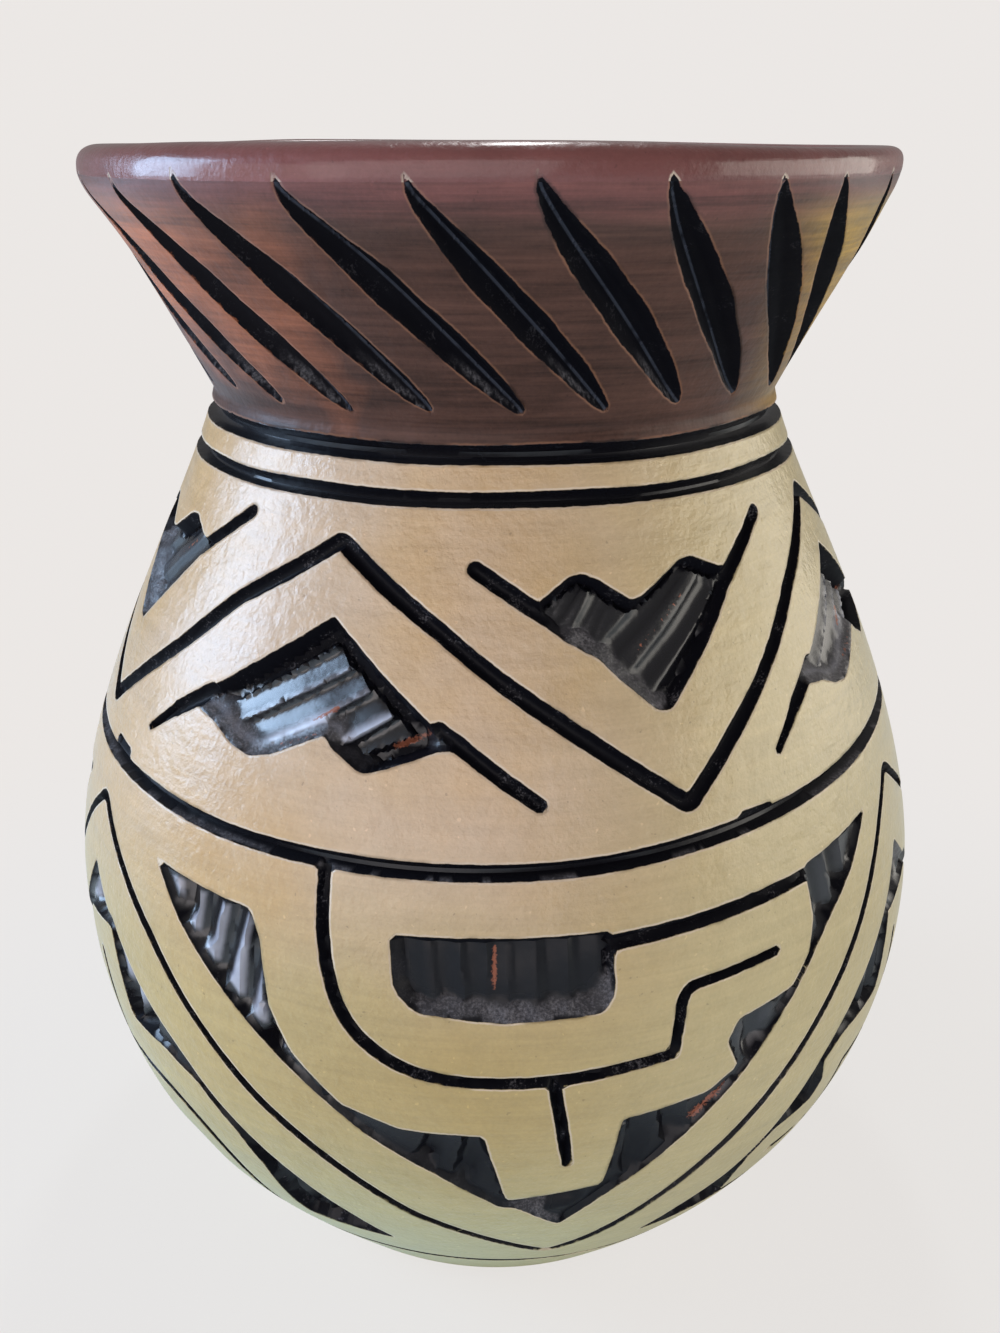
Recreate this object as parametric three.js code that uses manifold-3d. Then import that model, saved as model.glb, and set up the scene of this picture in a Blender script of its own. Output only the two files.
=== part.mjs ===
// A carved redware vase: a round-bellied pot with a flared collar, built up in rings of clay.
// Millimetres, +Z up, origin at the centre of the flat base. Angles are in degrees round the vase,
// from 0 at the front (-Y) towards +X.
import * as THREE from 'three';
import { mergeVertices } from 'three/addons/utils/BufferGeometryUtils.js';
import Module from 'manifold-3d';

const wasm = await Module();
wasm.setup();

// Outside shape of the pot
const BASE_RADIUS = 49.2;
const BELLY_RADIUS = 80.6;
const BELLY_HEIGHT = 69.4;
const NECK_RADIUS = 49.6;
const NECK_HEIGHT = 160.6;
const COLLAR_RISE = 34.7;
const LIP_RADIUS = 68.1;
const LIP_RISE = 4.7;
const LIP_BEVEL = 4.5;
const LIP_BEVEL_LIMIT = 0.7;
const LIP_ROUND = 2;
const WALL = 6.5;
const FLOOR = 7;
const FLOOR_COVE = 3;

// How full the outline curves are, as shares of the height that each one spans
const FOOT_LEAN = 40;
const FOOT_FULLNESS = 0.36;
const LOWER_FULLNESS = 0.5;
const UPPER_FULLNESS = 0.39;
const NECK_LEAN = 11.5;
const NECK_FULLNESS = 0.17;
const COLLAR_HOLLOW = 0.05;

// Ring grooves that hide the joints, each given by its height on the wall
const BASE_RING = 14.3;
const BELLY_RING = 103.3;
const NECK_RING_DROP = 3.3;
const NECK_RING_PITCH = 6.4;
const BASE_GROOVE_WIDTH = 2;
const BASE_GROOVE_DEPTH = 1.2;
const BELLY_GROOVE_WIDTH = 2.6;
const BELLY_GROOVE_DEPTH = 1.6;
const NECK_GROOVE_WIDTH = 3;
const NECK_GROOVE_DEPTH = 1.8;
// The belly groove wanders as a hand cut it: it climbs to one side and sags front and back
const BELLY_CLIMB = 1.4;
const BELLY_SAG = 2;

// Lapped joints between the rings: a tongue on the inner half of the wall, in a matching rebate
const TONGUE_WIDTH = 2.4;
const TONGUE_RISE = 3;
const LIP_TONGUE_RISE = 2;
const JOINT_CLEARANCE = 0.3;

// Carved lines and sunk panels
const LINE_WIDTH = 2.2;
const LINE_DEPTH = 1.6;
const PANEL_DEPTH = 2.2;
const SLASH_COUNT = 25;
const SLASH_WIDTH = 6;
const SLASH_DEPTH = 2.8;
const SLASH_LEAN = 27.5;
const SLASH_TOP = 97;
const SLASH_FOOT = 8;
const SLASH_START = -9.5;
// Above 1 a slash leans more towards its foot
const SLASH_BEND = 1.25;
// Above 1 the widest place lies below the middle; the ends taper to this share of the width
const SLASH_BALANCE = 1.4;
const SLASH_POINT = 0.06;

// Facets: segments round the pot, and the height of one row of the wall
const SEGMENTS = 40;
const ROW = 14;
const INNER_ROW = 20;
const LINE_STEP = 12;
const SLASH_STEPS = 8;
const BEVEL_STEPS = 5;
const ROUND_STEPS = 3;
const CUTTER_LIFT = 0.8;
const CUTTER_REACH = 24;

const COLLAR_TOP = NECK_HEIGHT + COLLAR_RISE;
const RIM_TOP = COLLAR_TOP + LIP_RISE;
const COLLAR_RING = NECK_HEIGHT - NECK_RING_DROP;
const NECK_RING = COLLAR_RING - NECK_RING_PITCH;

const radians = THREE.MathUtils.degToRad;

// Outline of the body as two curves that meet upright at the belly, then the collar's hollow curve
function outlineCurves() {
  const lowerSpan = BELLY_HEIGHT;
  const upperSpan = NECK_HEIGHT - BELLY_HEIGHT;
  const flare = LIP_RADIUS - NECK_RADIUS;
  const footPull = FOOT_FULLNESS * lowerSpan;
  const neckPull = NECK_FULLNESS * upperSpan;
  const belly = new THREE.Vector2(BELLY_RADIUS, BELLY_HEIGHT);
  const neck = new THREE.Vector2(NECK_RADIUS, NECK_HEIGHT);
  const lower = new THREE.CubicBezierCurve(
    new THREE.Vector2(BASE_RADIUS, 0),
    new THREE.Vector2(
      BASE_RADIUS + footPull * Math.sin(radians(FOOT_LEAN)),
      footPull * Math.cos(radians(FOOT_LEAN)),
    ),
    new THREE.Vector2(BELLY_RADIUS, BELLY_HEIGHT - LOWER_FULLNESS * lowerSpan),
    belly,
  );
  const upper = new THREE.CubicBezierCurve(
    belly,
    new THREE.Vector2(BELLY_RADIUS, BELLY_HEIGHT + UPPER_FULLNESS * upperSpan),
    new THREE.Vector2(
      NECK_RADIUS + neckPull * Math.sin(radians(NECK_LEAN)),
      NECK_HEIGHT - neckPull * Math.cos(radians(NECK_LEAN)),
    ),
    neck,
  );
  const collar = new THREE.QuadraticBezierCurve(
    neck,
    new THREE.Vector2(NECK_RADIUS + flare * (0.5 - COLLAR_HOLLOW), NECK_HEIGHT + COLLAR_RISE / 2),
    new THREE.Vector2(LIP_RADIUS, COLLAR_TOP),
  );
  return [lower, upper, collar];
}

const OUTLINE = outlineCurves().flatMap((curve) => curve.getPoints(80));

// Outside radius at a height, read from the outline
function outerRadius(height) {
  const next = OUTLINE.findIndex((point, index) => index > 0 && point.y >= height);
  const upper = next < 0 ? OUTLINE.length - 1 : next;
  const low = OUTLINE[upper - 1];
  const high = OUTLINE[upper];
  const span = high.y - low.y;
  const share = span > 0 ? THREE.MathUtils.clamp((height - low.y) / span, 0, 1) : 0;
  return THREE.MathUtils.lerp(low.x, high.x, share);
}

const innerRadius = (height) => outerRadius(height) - WALL;

// Change of radius with height, for the direction that the wall faces
function slopeAt(height) {
  const step = 0.5;
  return (outerRadius(height + step) - outerRadius(height - step)) / (2 * step);
}

// Heights from one level to another in even rows
function rows(from, to, row = ROW) {
  const count = Math.max(1, Math.round(Math.abs(to - from) / row));
  return Array.from({ length: count + 1 }, (_, index) => from + ((to - from) * index) / count);
}

const wallPoints = (heights, radiusOf) =>
  heights.map((height) => new THREE.Vector2(radiusOf(height), height));

// A closed triangle mesh as a solid, turned so that its faces point out
function solidFrom(positions, faces) {
  const corner = (index) => new THREE.Vector3().fromArray(positions, index * 3);
  let volume = 0;
  for (let at = 0; at < faces.length; at += 3) {
    volume += corner(faces[at]).dot(corner(faces[at + 1]).cross(corner(faces[at + 2])));
  }
  const turned = volume < 0 ? faces.slice().reverse() : faces;
  const mesh = new wasm.Mesh({
    numProp: 3,
    vertProperties: new Float32Array(positions),
    triVerts: new Uint32Array(turned),
  });
  return new wasm.Manifold(mesh);
}

// A profile of radius and height turned round the vase's axis
function turned(profile) {
  const lathe = new THREE.LatheGeometry(profile, SEGMENTS);
  lathe.rotateX(Math.PI / 2);
  lathe.deleteAttribute('normal');
  lathe.deleteAttribute('uv');
  const merged = mergeVertices(lathe);
  const index = merged.index.array;
  const faces = [];
  for (let at = 0; at < index.length; at += 3) {
    const [a, b, c] = index.slice(at, at + 3);
    if (a !== b && b !== c && c !== a) {
      faces.push(a, b, c);
    }
  }
  return solidFrom(Array.from(merged.attributes.position.array), faces);
}

// A point on the outside of the pot, and the way that the wall faces there
function surfacePoint(angle, height) {
  const turn = radians(angle);
  const radius = outerRadius(height);
  return new THREE.Vector3(radius * Math.sin(turn), -radius * Math.cos(turn), height);
}

function surfaceNormal(angle, height) {
  const turn = radians(angle);
  return new THREE.Vector3(Math.sin(turn), -Math.cos(turn), -slopeAt(height)).normalize();
}

// A V-shaped gouge cut along stations on the wall, each with an angle, a height, a width and a depth
function gouge(stations, closed = false) {
  const count = stations.length;
  const places = stations.map(({ angle, height }) => surfacePoint(angle, height));
  const positions = [];
  stations.forEach(({ angle, height, width, depth }, index) => {
    const here = places[index];
    const before = places[closed ? (index + count - 1) % count : Math.max(index - 1, 0)];
    const after = places[closed ? (index + 1) % count : Math.min(index + 1, count - 1)];
    const normal = surfaceNormal(angle, height);
    const arriving = here.clone().sub(before === here ? after : before);
    const leaving = after.clone().sub(here);
    if (before === here) {
      arriving.negate();
    }
    if (after === here) {
      leaving.copy(arriving);
    }
    const sideIn = normal.clone().cross(arriving).normalize();
    const sideOut = normal.clone().cross(leaving).normalize();
    const side = sideIn.clone().add(sideOut).normalize();
    const mitre = 1 / Math.max(side.dot(sideOut), 0.5);
    const reach = (width / 2) * (1 + CUTTER_LIFT / depth) * mitre;
    const lifted = here.clone().addScaledVector(normal, CUTTER_LIFT);
    positions.push(...lifted.clone().addScaledVector(side, reach).toArray());
    positions.push(...here.clone().addScaledVector(normal, -depth).toArray());
    positions.push(...lifted.clone().addScaledVector(side, -reach).toArray());
  });
  const faces = [];
  const steps = closed ? count : count - 1;
  for (let step = 0; step < steps; step += 1) {
    const here = step * 3;
    const next = ((step + 1) % count) * 3;
    for (let corner = 0; corner < 3; corner += 1) {
      const other = (corner + 1) % 3;
      faces.push(here + corner, next + corner, here + other);
      faces.push(here + other, next + corner, next + other);
    }
  }
  if (!closed) {
    const last = (count - 1) * 3;
    faces.push(0, 1, 2);
    faces.push(last, last + 2, last + 1);
  }
  return solidFrom(positions, faces);
}

// Extra points along a path of [angle, height], so that it follows the round wall
function followed(path, closed = false) {
  const points = [];
  const count = closed ? path.length : path.length - 1;
  for (let index = 0; index < count; index += 1) {
    const [fromAngle, fromHeight] = path[index];
    let [toAngle, toHeight] = path[(index + 1) % path.length];
    if (closed && index === count - 1) {
      toAngle += 360;
    }
    const pieces = Math.max(1, Math.ceil(Math.abs(toAngle - fromAngle) / LINE_STEP));
    for (let piece = 0; piece < pieces; piece += 1) {
      const share = piece / pieces;
      points.push([
        THREE.MathUtils.lerp(fromAngle, toAngle, share),
        THREE.MathUtils.lerp(fromHeight, toHeight, share),
      ]);
    }
  }
  if (!closed) {
    points.push(path[path.length - 1]);
  }
  return points;
}

const carvedLine = (path, closed = false) =>
  gouge(
    followed(path, closed).map(([angle, height]) => (
      { angle, height, width: LINE_WIDTH, depth: LINE_DEPTH }
    )),
    closed,
  );

// A radial block over an outline of [angle, height], reaching from inside the wall to beyond it
function radialBlock(outline) {
  const edge = followed(outline.concat([outline[0]])).slice(0, -1);
  const contour = edge.map(([angle, height]) => new THREE.Vector2(angle, height));
  const triangles = THREE.ShapeUtils.triangulateShape(contour, []);
  const count = edge.length;
  const positions = [];
  for (const reach of [-CUTTER_REACH, CUTTER_REACH]) {
    for (const [angle, height] of edge) {
      const turn = radians(angle);
      const radius = outerRadius(height) + reach;
      positions.push(radius * Math.sin(turn), -radius * Math.cos(turn), height);
    }
  }
  const faces = [];
  for (const [a, b, c] of triangles) {
    faces.push(a, b, c);
    faces.push(count + a, count + c, count + b);
  }
  for (let index = 0; index < count; index += 1) {
    const next = (index + 1) % count;
    // The walls run the other way round from the inner cap where the outline is clockwise
    if (THREE.ShapeUtils.isClockWise(contour)) {
      faces.push(index, next, count + index, next, count + next, count + index);
    } else {
      faces.push(next, index, count + index, next, count + index, count + next);
    }
  }
  return solidFrom(positions, faces);
}

// Height of the belly groove at an angle
const bellyRingAt = (angle) =>
  BELLY_RING + BELLY_CLIMB * Math.sin(radians(angle)) - BELLY_SAG * Math.cos(radians(2 * angle));

// The lower frieze lies between the base ring and the belly groove, the upper one between the belly
// groove and the neck ring: a point is an angle and a percentage of the way up
const lowerPlace = (angle, percent) => [
  angle,
  THREE.MathUtils.lerp(BASE_RING, bellyRingAt(angle), percent / 100),
];
const upperPlace = (angle, percent) => [
  angle,
  THREE.MathUtils.lerp(bellyRingAt(angle), NECK_RING, percent / 100),
];

// The fret of the lower frieze, as degrees of a 60 degree motif and percentages of the frieze.
// Upright frets alternate with the same fret turned upside down.
const FRET_WIDTH = 60;
const FRET_START = -28.5;
const FRET_SPANS = [65.8, 60.2, 58.8, 58.8, 58.8, 57.6];
const FRET_V = [
  [0, 50], [9.5, 36], [16.5, 25.5], [26.5, 15], [33, 8], [38, 14], [44.5, 24.5], [51, 35],
];
const FRET_BORDER = [
  [-13.5, 88], [-8.5, 79.5], [1.5, 66], [10, 52], [18.5, 40.5], [26.8, 31], [33, 23],
  [38, 30.5], [46, 45.5], [54, 56.5], [59.5, 66], [64.5, 75.5], [75, 90],
  [62, 88.5], [62.3, 74], [59.3, 69], [51.5, 66.8], [50.5, 64], [51.4, 58], [49.5, 53],
  [39, 50.8], [38.3, 34.5], [27.5, 32.4], [25.3, 49.8], [13.8, 51.6], [10.5, 53.5],
  [6.2, 61], [3.8, 67.5], [2, 75], [1.3, 86.5], [-0.5, 88.6],
];
const FRET_PANEL = [[15.4, 88.3], [38.2, 88.6], [38, 78], [36.8, 75.5], [26.7, 75], [18, 76.4]];
const FRET_LEAD = [[38.2, 87.4], [62, 87.2]];
const FRET_KEY = [
  [8.4, 100], [8.6, 89], [9.6, 79.7], [11.7, 72], [15, 66.6], [18.8, 63.5], [24, 62.5],
  [31.8, 62.5], [44.9, 64.3], [46, 76.4], [56.7, 77.3],
];
const FRET_STEM = [[31.8, 62.5], [33.3, 42.4]];

// The upper frieze: a zigzag of four peaks, a stepped panel under each and one in each valley
const PEAK_COUNT = 4;
const PEAK_START = -23.5;
const ZIGZAG = [[0, 86], [16, 65.5], [31.5, 41], [46, 12], [55, 28.5], [64, 45], [74, 63]];
const PEAK_PANEL = [
  [-18.4, 33.5], [2, 65.5], [15.4, 41.7], [19.3, 36.2], [16.9, 32.6], [8.4, 27], [3.4, 33],
  [2.5, 36], [-8.6, 25],
];
const PEAK_LINES = [[[-29.3, 17.8], [-18.4, 33.5]], [[15.4, 40.5], [28.5, 19.4]]];
const VALLEY_PANEL = [
  [29.9, 68.5], [33.2, 77], [35.3, 78.9], [37.9, 77.7], [43.1, 70.8], [45, 71.1], [52.4, 79.8],
  [56.3, 78.8], [60.1, 74.4], [61.9, 73.9], [60.6, 67.1], [53.7, 53.1], [46.2, 39.5],
  [41.4, 49.2], [36.7, 57.3],
];
const VALLEY_LINES = [[[20.5, 82.2], [29.9, 69.5]], [[61, 73.8], [72.4, 87.4]]];

// Where a point of a fret lies, for an upright fret or the upside-down one that follows it
function fretPlace(index) {
  const start = FRET_SPANS.slice(0, index).reduce((sum, span) => sum + span, FRET_START);
  const share = FRET_SPANS[index] / FRET_WIDTH;
  if (index % 2 === 0) {
    return ([along, percent]) => lowerPlace(start + along * share, percent);
  }
  const end = start + FRET_SPANS[index];
  return ([along, percent]) => lowerPlace(end - along * share, 100 - percent);
}

const peakPlace = (index) => ([along, percent]) =>
  upperPlace(PEAK_START + (360 / PEAK_COUNT) * index + along, percent);

const range = (count) => Array.from({ length: count }, (_, index) => index);

// The zigzag line between the frets: each fret's V, the upside-down ones read backwards
const fretLine = () =>
  range(FRET_SPANS.length).flatMap((index) => {
    const points = index % 2 === 0 ? FRET_V : [[FRET_WIDTH, 50]].concat(FRET_V.slice(1).reverse());
    return points.map(fretPlace(index));
  });

const joined = (solids) => solids.reduce((sum, solid) => sum.add(solid));

// Every sunk panel, cut to an even depth below the wall
function sunkPanels() {
  const blocks = [];
  for (const index of range(FRET_SPANS.length)) {
    blocks.push(radialBlock(FRET_BORDER.map(fretPlace(index))));
    blocks.push(radialBlock(FRET_PANEL.map(fretPlace(index))));
  }
  for (const index of range(PEAK_COUNT)) {
    blocks.push(radialBlock(PEAK_PANEL.map(peakPlace(index))));
    blocks.push(radialBlock(VALLEY_PANEL.map(peakPlace(index))));
  }
  const heights = rows(BASE_RING, NECK_RING, INNER_ROW);
  const floor = heights.map((height) => {
    const depth = PANEL_DEPTH * Math.hypot(1, slopeAt(height));
    return new THREE.Vector2(outerRadius(height) - depth, height);
  });
  const axisLow = new THREE.Vector2(0, BASE_RING);
  const axisHigh = new THREE.Vector2(0, NECK_RING);
  const core = turned([axisLow, ...floor, axisHigh]);
  return joined(blocks).subtract(core);
}

// Every carved line of the two friezes
function carvedLines() {
  const lines = [carvedLine(fretLine(), true)];
  for (const index of range(FRET_SPANS.length)) {
    for (const path of [FRET_LEAD, FRET_KEY, FRET_STEM]) {
      lines.push(carvedLine(path.map(fretPlace(index))));
    }
  }
  const zigzag = range(PEAK_COUNT).flatMap((index) => ZIGZAG.map(peakPlace(index)));
  lines.push(carvedLine(zigzag, true));
  for (const index of range(PEAK_COUNT)) {
    for (const path of [...PEAK_LINES, ...VALLEY_LINES]) {
      lines.push(carvedLine(path.map(peakPlace(index))));
    }
  }
  return joined(lines);
}

// The wandering groove round the belly
const bellyGroove = () =>
  gouge(
    range(SEGMENTS).map((index) => {
      const angle = (360 / SEGMENTS) * (index + 0.5);
      const height = bellyRingAt(angle);
      return { angle, height, width: BELLY_GROOVE_WIDTH, depth: BELLY_GROOVE_DEPTH };
    }),
    true,
  );

// One leaf-shaped slash of the collar: pointed at both ends, widest below its middle
function slash(index) {
  const top = SLASH_START + (360 / SLASH_COUNT) * index;
  return gouge(
    range(SLASH_STEPS + 1).map((step) => {
      const share = step / SLASH_STEPS;
      const fullness = Math.max(Math.sin(Math.PI * share ** SLASH_BALANCE), SLASH_POINT);
      const percent = THREE.MathUtils.lerp(SLASH_TOP, SLASH_FOOT, share);
      return {
        angle: top + SLASH_LEAN * share ** SLASH_BEND,
        height: NECK_HEIGHT + (COLLAR_RISE * percent) / 100,
        width: SLASH_WIDTH * fullness,
        depth: SLASH_DEPTH * fullness,
      };
    }),
  );
}

// A joint at a height: where its tongue starts and how far that rises. All joints are alike but
// for the lip's, which is lower because the lip is small.
const JOINTS = {
  base: { height: BASE_RING, rise: TONGUE_RISE, width: BASE_GROOVE_WIDTH, depth: BASE_GROOVE_DEPTH },
  belly: { height: BELLY_RING, rise: TONGUE_RISE, width: 0, depth: 0 },
  neck: { height: NECK_RING, rise: TONGUE_RISE, width: NECK_GROOVE_WIDTH, depth: NECK_GROOVE_DEPTH },
  collar: { height: COLLAR_RING, rise: TONGUE_RISE, width: NECK_GROOVE_WIDTH, depth: NECK_GROOVE_DEPTH },
  lip: { height: COLLAR_TOP, rise: LIP_TONGUE_RISE, width: 0, depth: 0 },
};

// Outline of a ring's lower end, from the inside wall to the outside: the rebate, the seat, then
// half of the groove that hides the joint
function lowerEnd(joint) {
  const side = innerRadius(joint.height) + TONGUE_WIDTH + JOINT_CLEARANCE;
  const roof = joint.height + joint.rise + JOINT_CLEARANCE;
  const points = [
    new THREE.Vector2(innerRadius(roof), roof),
    new THREE.Vector2(side, roof),
    new THREE.Vector2(side, joint.height),
    new THREE.Vector2(outerRadius(joint.height) - joint.depth, joint.height),
  ];
  if (joint.width > 0) {
    const edge = joint.height + joint.width / 2;
    points.push(new THREE.Vector2(outerRadius(edge), edge));
  }
  return points;
}

// Outline of a ring's upper end, from the outside wall to the inside: half of the groove, the seat,
// then the tongue
function upperEnd(joint) {
  const side = innerRadius(joint.height) + TONGUE_WIDTH;
  const top = joint.height + joint.rise;
  const points = [];
  if (joint.width > 0) {
    const edge = joint.height - joint.width / 2;
    points.push(new THREE.Vector2(outerRadius(edge), edge));
  }
  points.push(new THREE.Vector2(outerRadius(joint.height) - joint.depth, joint.height));
  points.push(new THREE.Vector2(side, joint.height));
  points.push(new THREE.Vector2(side, top));
  points.push(new THREE.Vector2(innerRadius(top), top));
  return points;
}

const lowerEdge = (joint) => joint.height + joint.width / 2;
const upperEdge = (joint) => joint.height - joint.width / 2;

// A ring of the pot between two joints. The corners are levels that the outside row has to meet.
function ring(low, high, corners = []) {
  const levels = [lowerEdge(low), ...corners, upperEdge(high)];
  const outer = levels.slice(1).flatMap((level, index) => rows(levels[index], level).slice(1));
  const roof = low.height + low.rise + JOINT_CLEARANCE;
  const inner = rows(high.height + high.rise, roof, INNER_ROW).slice(1, -1);
  const profile = [
    ...lowerEnd(low),
    ...wallPoints(outer.slice(0, -1), outerRadius),
    ...upperEnd(high),
    ...wallPoints(inner, innerRadius),
  ];
  profile.push(profile[0].clone());
  return turned(profile);
}

// The base: a flat floor with its edge drawn up to take the first ring
function baseDish() {
  const joint = JOINTS.base;
  const profile = [
    new THREE.Vector2(0, 0),
    ...wallPoints(rows(0, upperEdge(joint), ROW / 2).slice(0, -1), outerRadius),
    ...upperEnd(joint),
    ...wallPoints([FLOOR + FLOOR_COVE], innerRadius),
    new THREE.Vector2(innerRadius(FLOOR) - FLOOR_COVE, FLOOR),
    new THREE.Vector2(0, FLOOR),
  ];
  return turned(profile);
}

// The lip: a coil with a rounded bevel outside and a small round inside
function lipCoil() {
  const bevelWidth = Math.min(LIP_BEVEL, LIP_BEVEL_LIMIT * WALL);
  const roundWidth = WALL - bevelWidth;
  const bevel = range(BEVEL_STEPS + 1).map((step) => {
    const turn = radians((90 * step) / BEVEL_STEPS);
    return new THREE.Vector2(
      LIP_RADIUS - bevelWidth * (1 - Math.cos(turn)),
      COLLAR_TOP + LIP_RISE * Math.sin(turn),
    );
  });
  const round = range(ROUND_STEPS).map((step) => {
    const turn = radians((90 * (step + 1)) / ROUND_STEPS);
    return new THREE.Vector2(
      LIP_RADIUS - bevelWidth - roundWidth * Math.sin(turn),
      RIM_TOP - LIP_ROUND * (1 - Math.cos(turn)),
    );
  });
  const profile = [...lowerEnd(JOINTS.lip).slice(0, -1), ...bevel, ...round];
  profile.push(profile[0].clone());
  return turned(profile);
}

// Fired clay in the colours of the outside: pale slip on the body, brown on the collar, red lip
const PALE_SLIP = { color: 0xb7a27c, roughness: 0.45, metalness: 0 };
const BROWN_SLIP = { color: 0x6b4530, roughness: 0.4, metalness: 0 };
const RED_SLIP = { color: 0x5a1f19, roughness: 0.35, metalness: 0 };

const vase = new THREE.Group();

function addPiece(name, solid, finish) {
  const mesh = solid.getMesh();
  const geometry = new THREE.BufferGeometry();
  geometry.setAttribute('position', new THREE.BufferAttribute(mesh.vertProperties, 3));
  geometry.setIndex(new THREE.BufferAttribute(mesh.triVerts, 1));
  const piece = new THREE.Mesh(geometry, new THREE.MeshStandardMaterial(finish));
  piece.name = name;
  vase.add(piece);
}

const bodyCarving = joined([sunkPanels(), carvedLines(), bellyGroove()]);
const collarCarving = joined(range(SLASH_COUNT).map(slash));

addPiece('base_dish', baseDish(), PALE_SLIP);
addPiece('lower_bowl', ring(JOINTS.base, JOINTS.belly).subtract(bodyCarving), PALE_SLIP);
addPiece('shoulder_wall', ring(JOINTS.belly, JOINTS.neck).subtract(bodyCarving), PALE_SLIP);
addPiece('neck_band', ring(JOINTS.neck, JOINTS.collar), PALE_SLIP);
addPiece(
  'flared_collar',
  ring(JOINTS.collar, JOINTS.lip, [NECK_HEIGHT]).subtract(collarCarving),
  BROWN_SLIP,
);
addPiece('lip_coil', lipCoil(), RED_SLIP);

export default vase;
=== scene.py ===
"""The carved redware vase: its rings of clay, their carving and their finishes.

Shapes are worked out in millimetres and put into the meshes in metres. Angles are in degrees round
the vase, from 0 at the front (-Y) towards +X. A place on the outside wall is an angle and an arc,
which is the length up the outline from the foot.
"""

import logging
import math
from dataclasses import dataclass
from enum import Enum
from functools import cached_property
from typing import Callable, Sequence

import bpy
import numpy as np
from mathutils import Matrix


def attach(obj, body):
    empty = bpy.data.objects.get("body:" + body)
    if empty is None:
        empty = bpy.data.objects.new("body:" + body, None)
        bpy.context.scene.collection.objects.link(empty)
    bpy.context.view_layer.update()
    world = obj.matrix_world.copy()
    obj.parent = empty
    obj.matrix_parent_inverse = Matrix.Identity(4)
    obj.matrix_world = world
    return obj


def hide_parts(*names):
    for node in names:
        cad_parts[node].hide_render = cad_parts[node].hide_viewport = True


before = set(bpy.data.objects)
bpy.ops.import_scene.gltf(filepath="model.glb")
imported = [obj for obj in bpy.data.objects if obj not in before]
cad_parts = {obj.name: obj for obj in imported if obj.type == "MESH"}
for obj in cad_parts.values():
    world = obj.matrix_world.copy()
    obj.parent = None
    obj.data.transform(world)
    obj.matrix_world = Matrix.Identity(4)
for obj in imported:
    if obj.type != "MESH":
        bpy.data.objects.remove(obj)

LOG = logging.getLogger("vase")
MM = 0.001
# Radii that turn a length along the wall into an angle, for a safe reach and for a fair one.
NARROWEST, USUAL_RADIUS = 48.0, 70.0
# Distances that stand for no edge near, and how far a ring groove's work can reach.
CLEAR, FAR, RING_REACH = 9.0, 99.0, 6.0
# What the finishes read from each vertex, with the values of uncut clay.
BLANK_MARKS = {"rim": CLEAR, "depth": 0.0, "rough": 0.0, "matt": 0.0, "bare": 0.0, "fold": CLEAR}

Array = np.ndarray
Vector = tuple[float, float, float]
Colour = Vector
Point = tuple[float, float]
Points = Sequence[Point]
HeightAt = Callable[[Array], Array]


def turned_by(degrees: Array) -> Array:
    """Angles brought into the half turn on either side of 0."""
    return (degrees + 180.0) % 360.0 - 180.0


def even_turn(columns: int) -> Array:
    """Evenly set angles all round the pot."""
    return np.linspace(-180.0, 180.0, columns, endpoint=False)


def level(height: float) -> HeightAt:
    """One height all round."""
    return lambda angle: np.full(np.shape(angle), height)


def eased(value: Array, low: float, high: float) -> Array:
    """A smooth step: 0 at low, 1 at high, along three t squared less two t cubed."""
    share = np.clip((value - low) / (high - low), 0.0, 1.0)
    return share * share * (3.0 - 2.0 * share)


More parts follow.
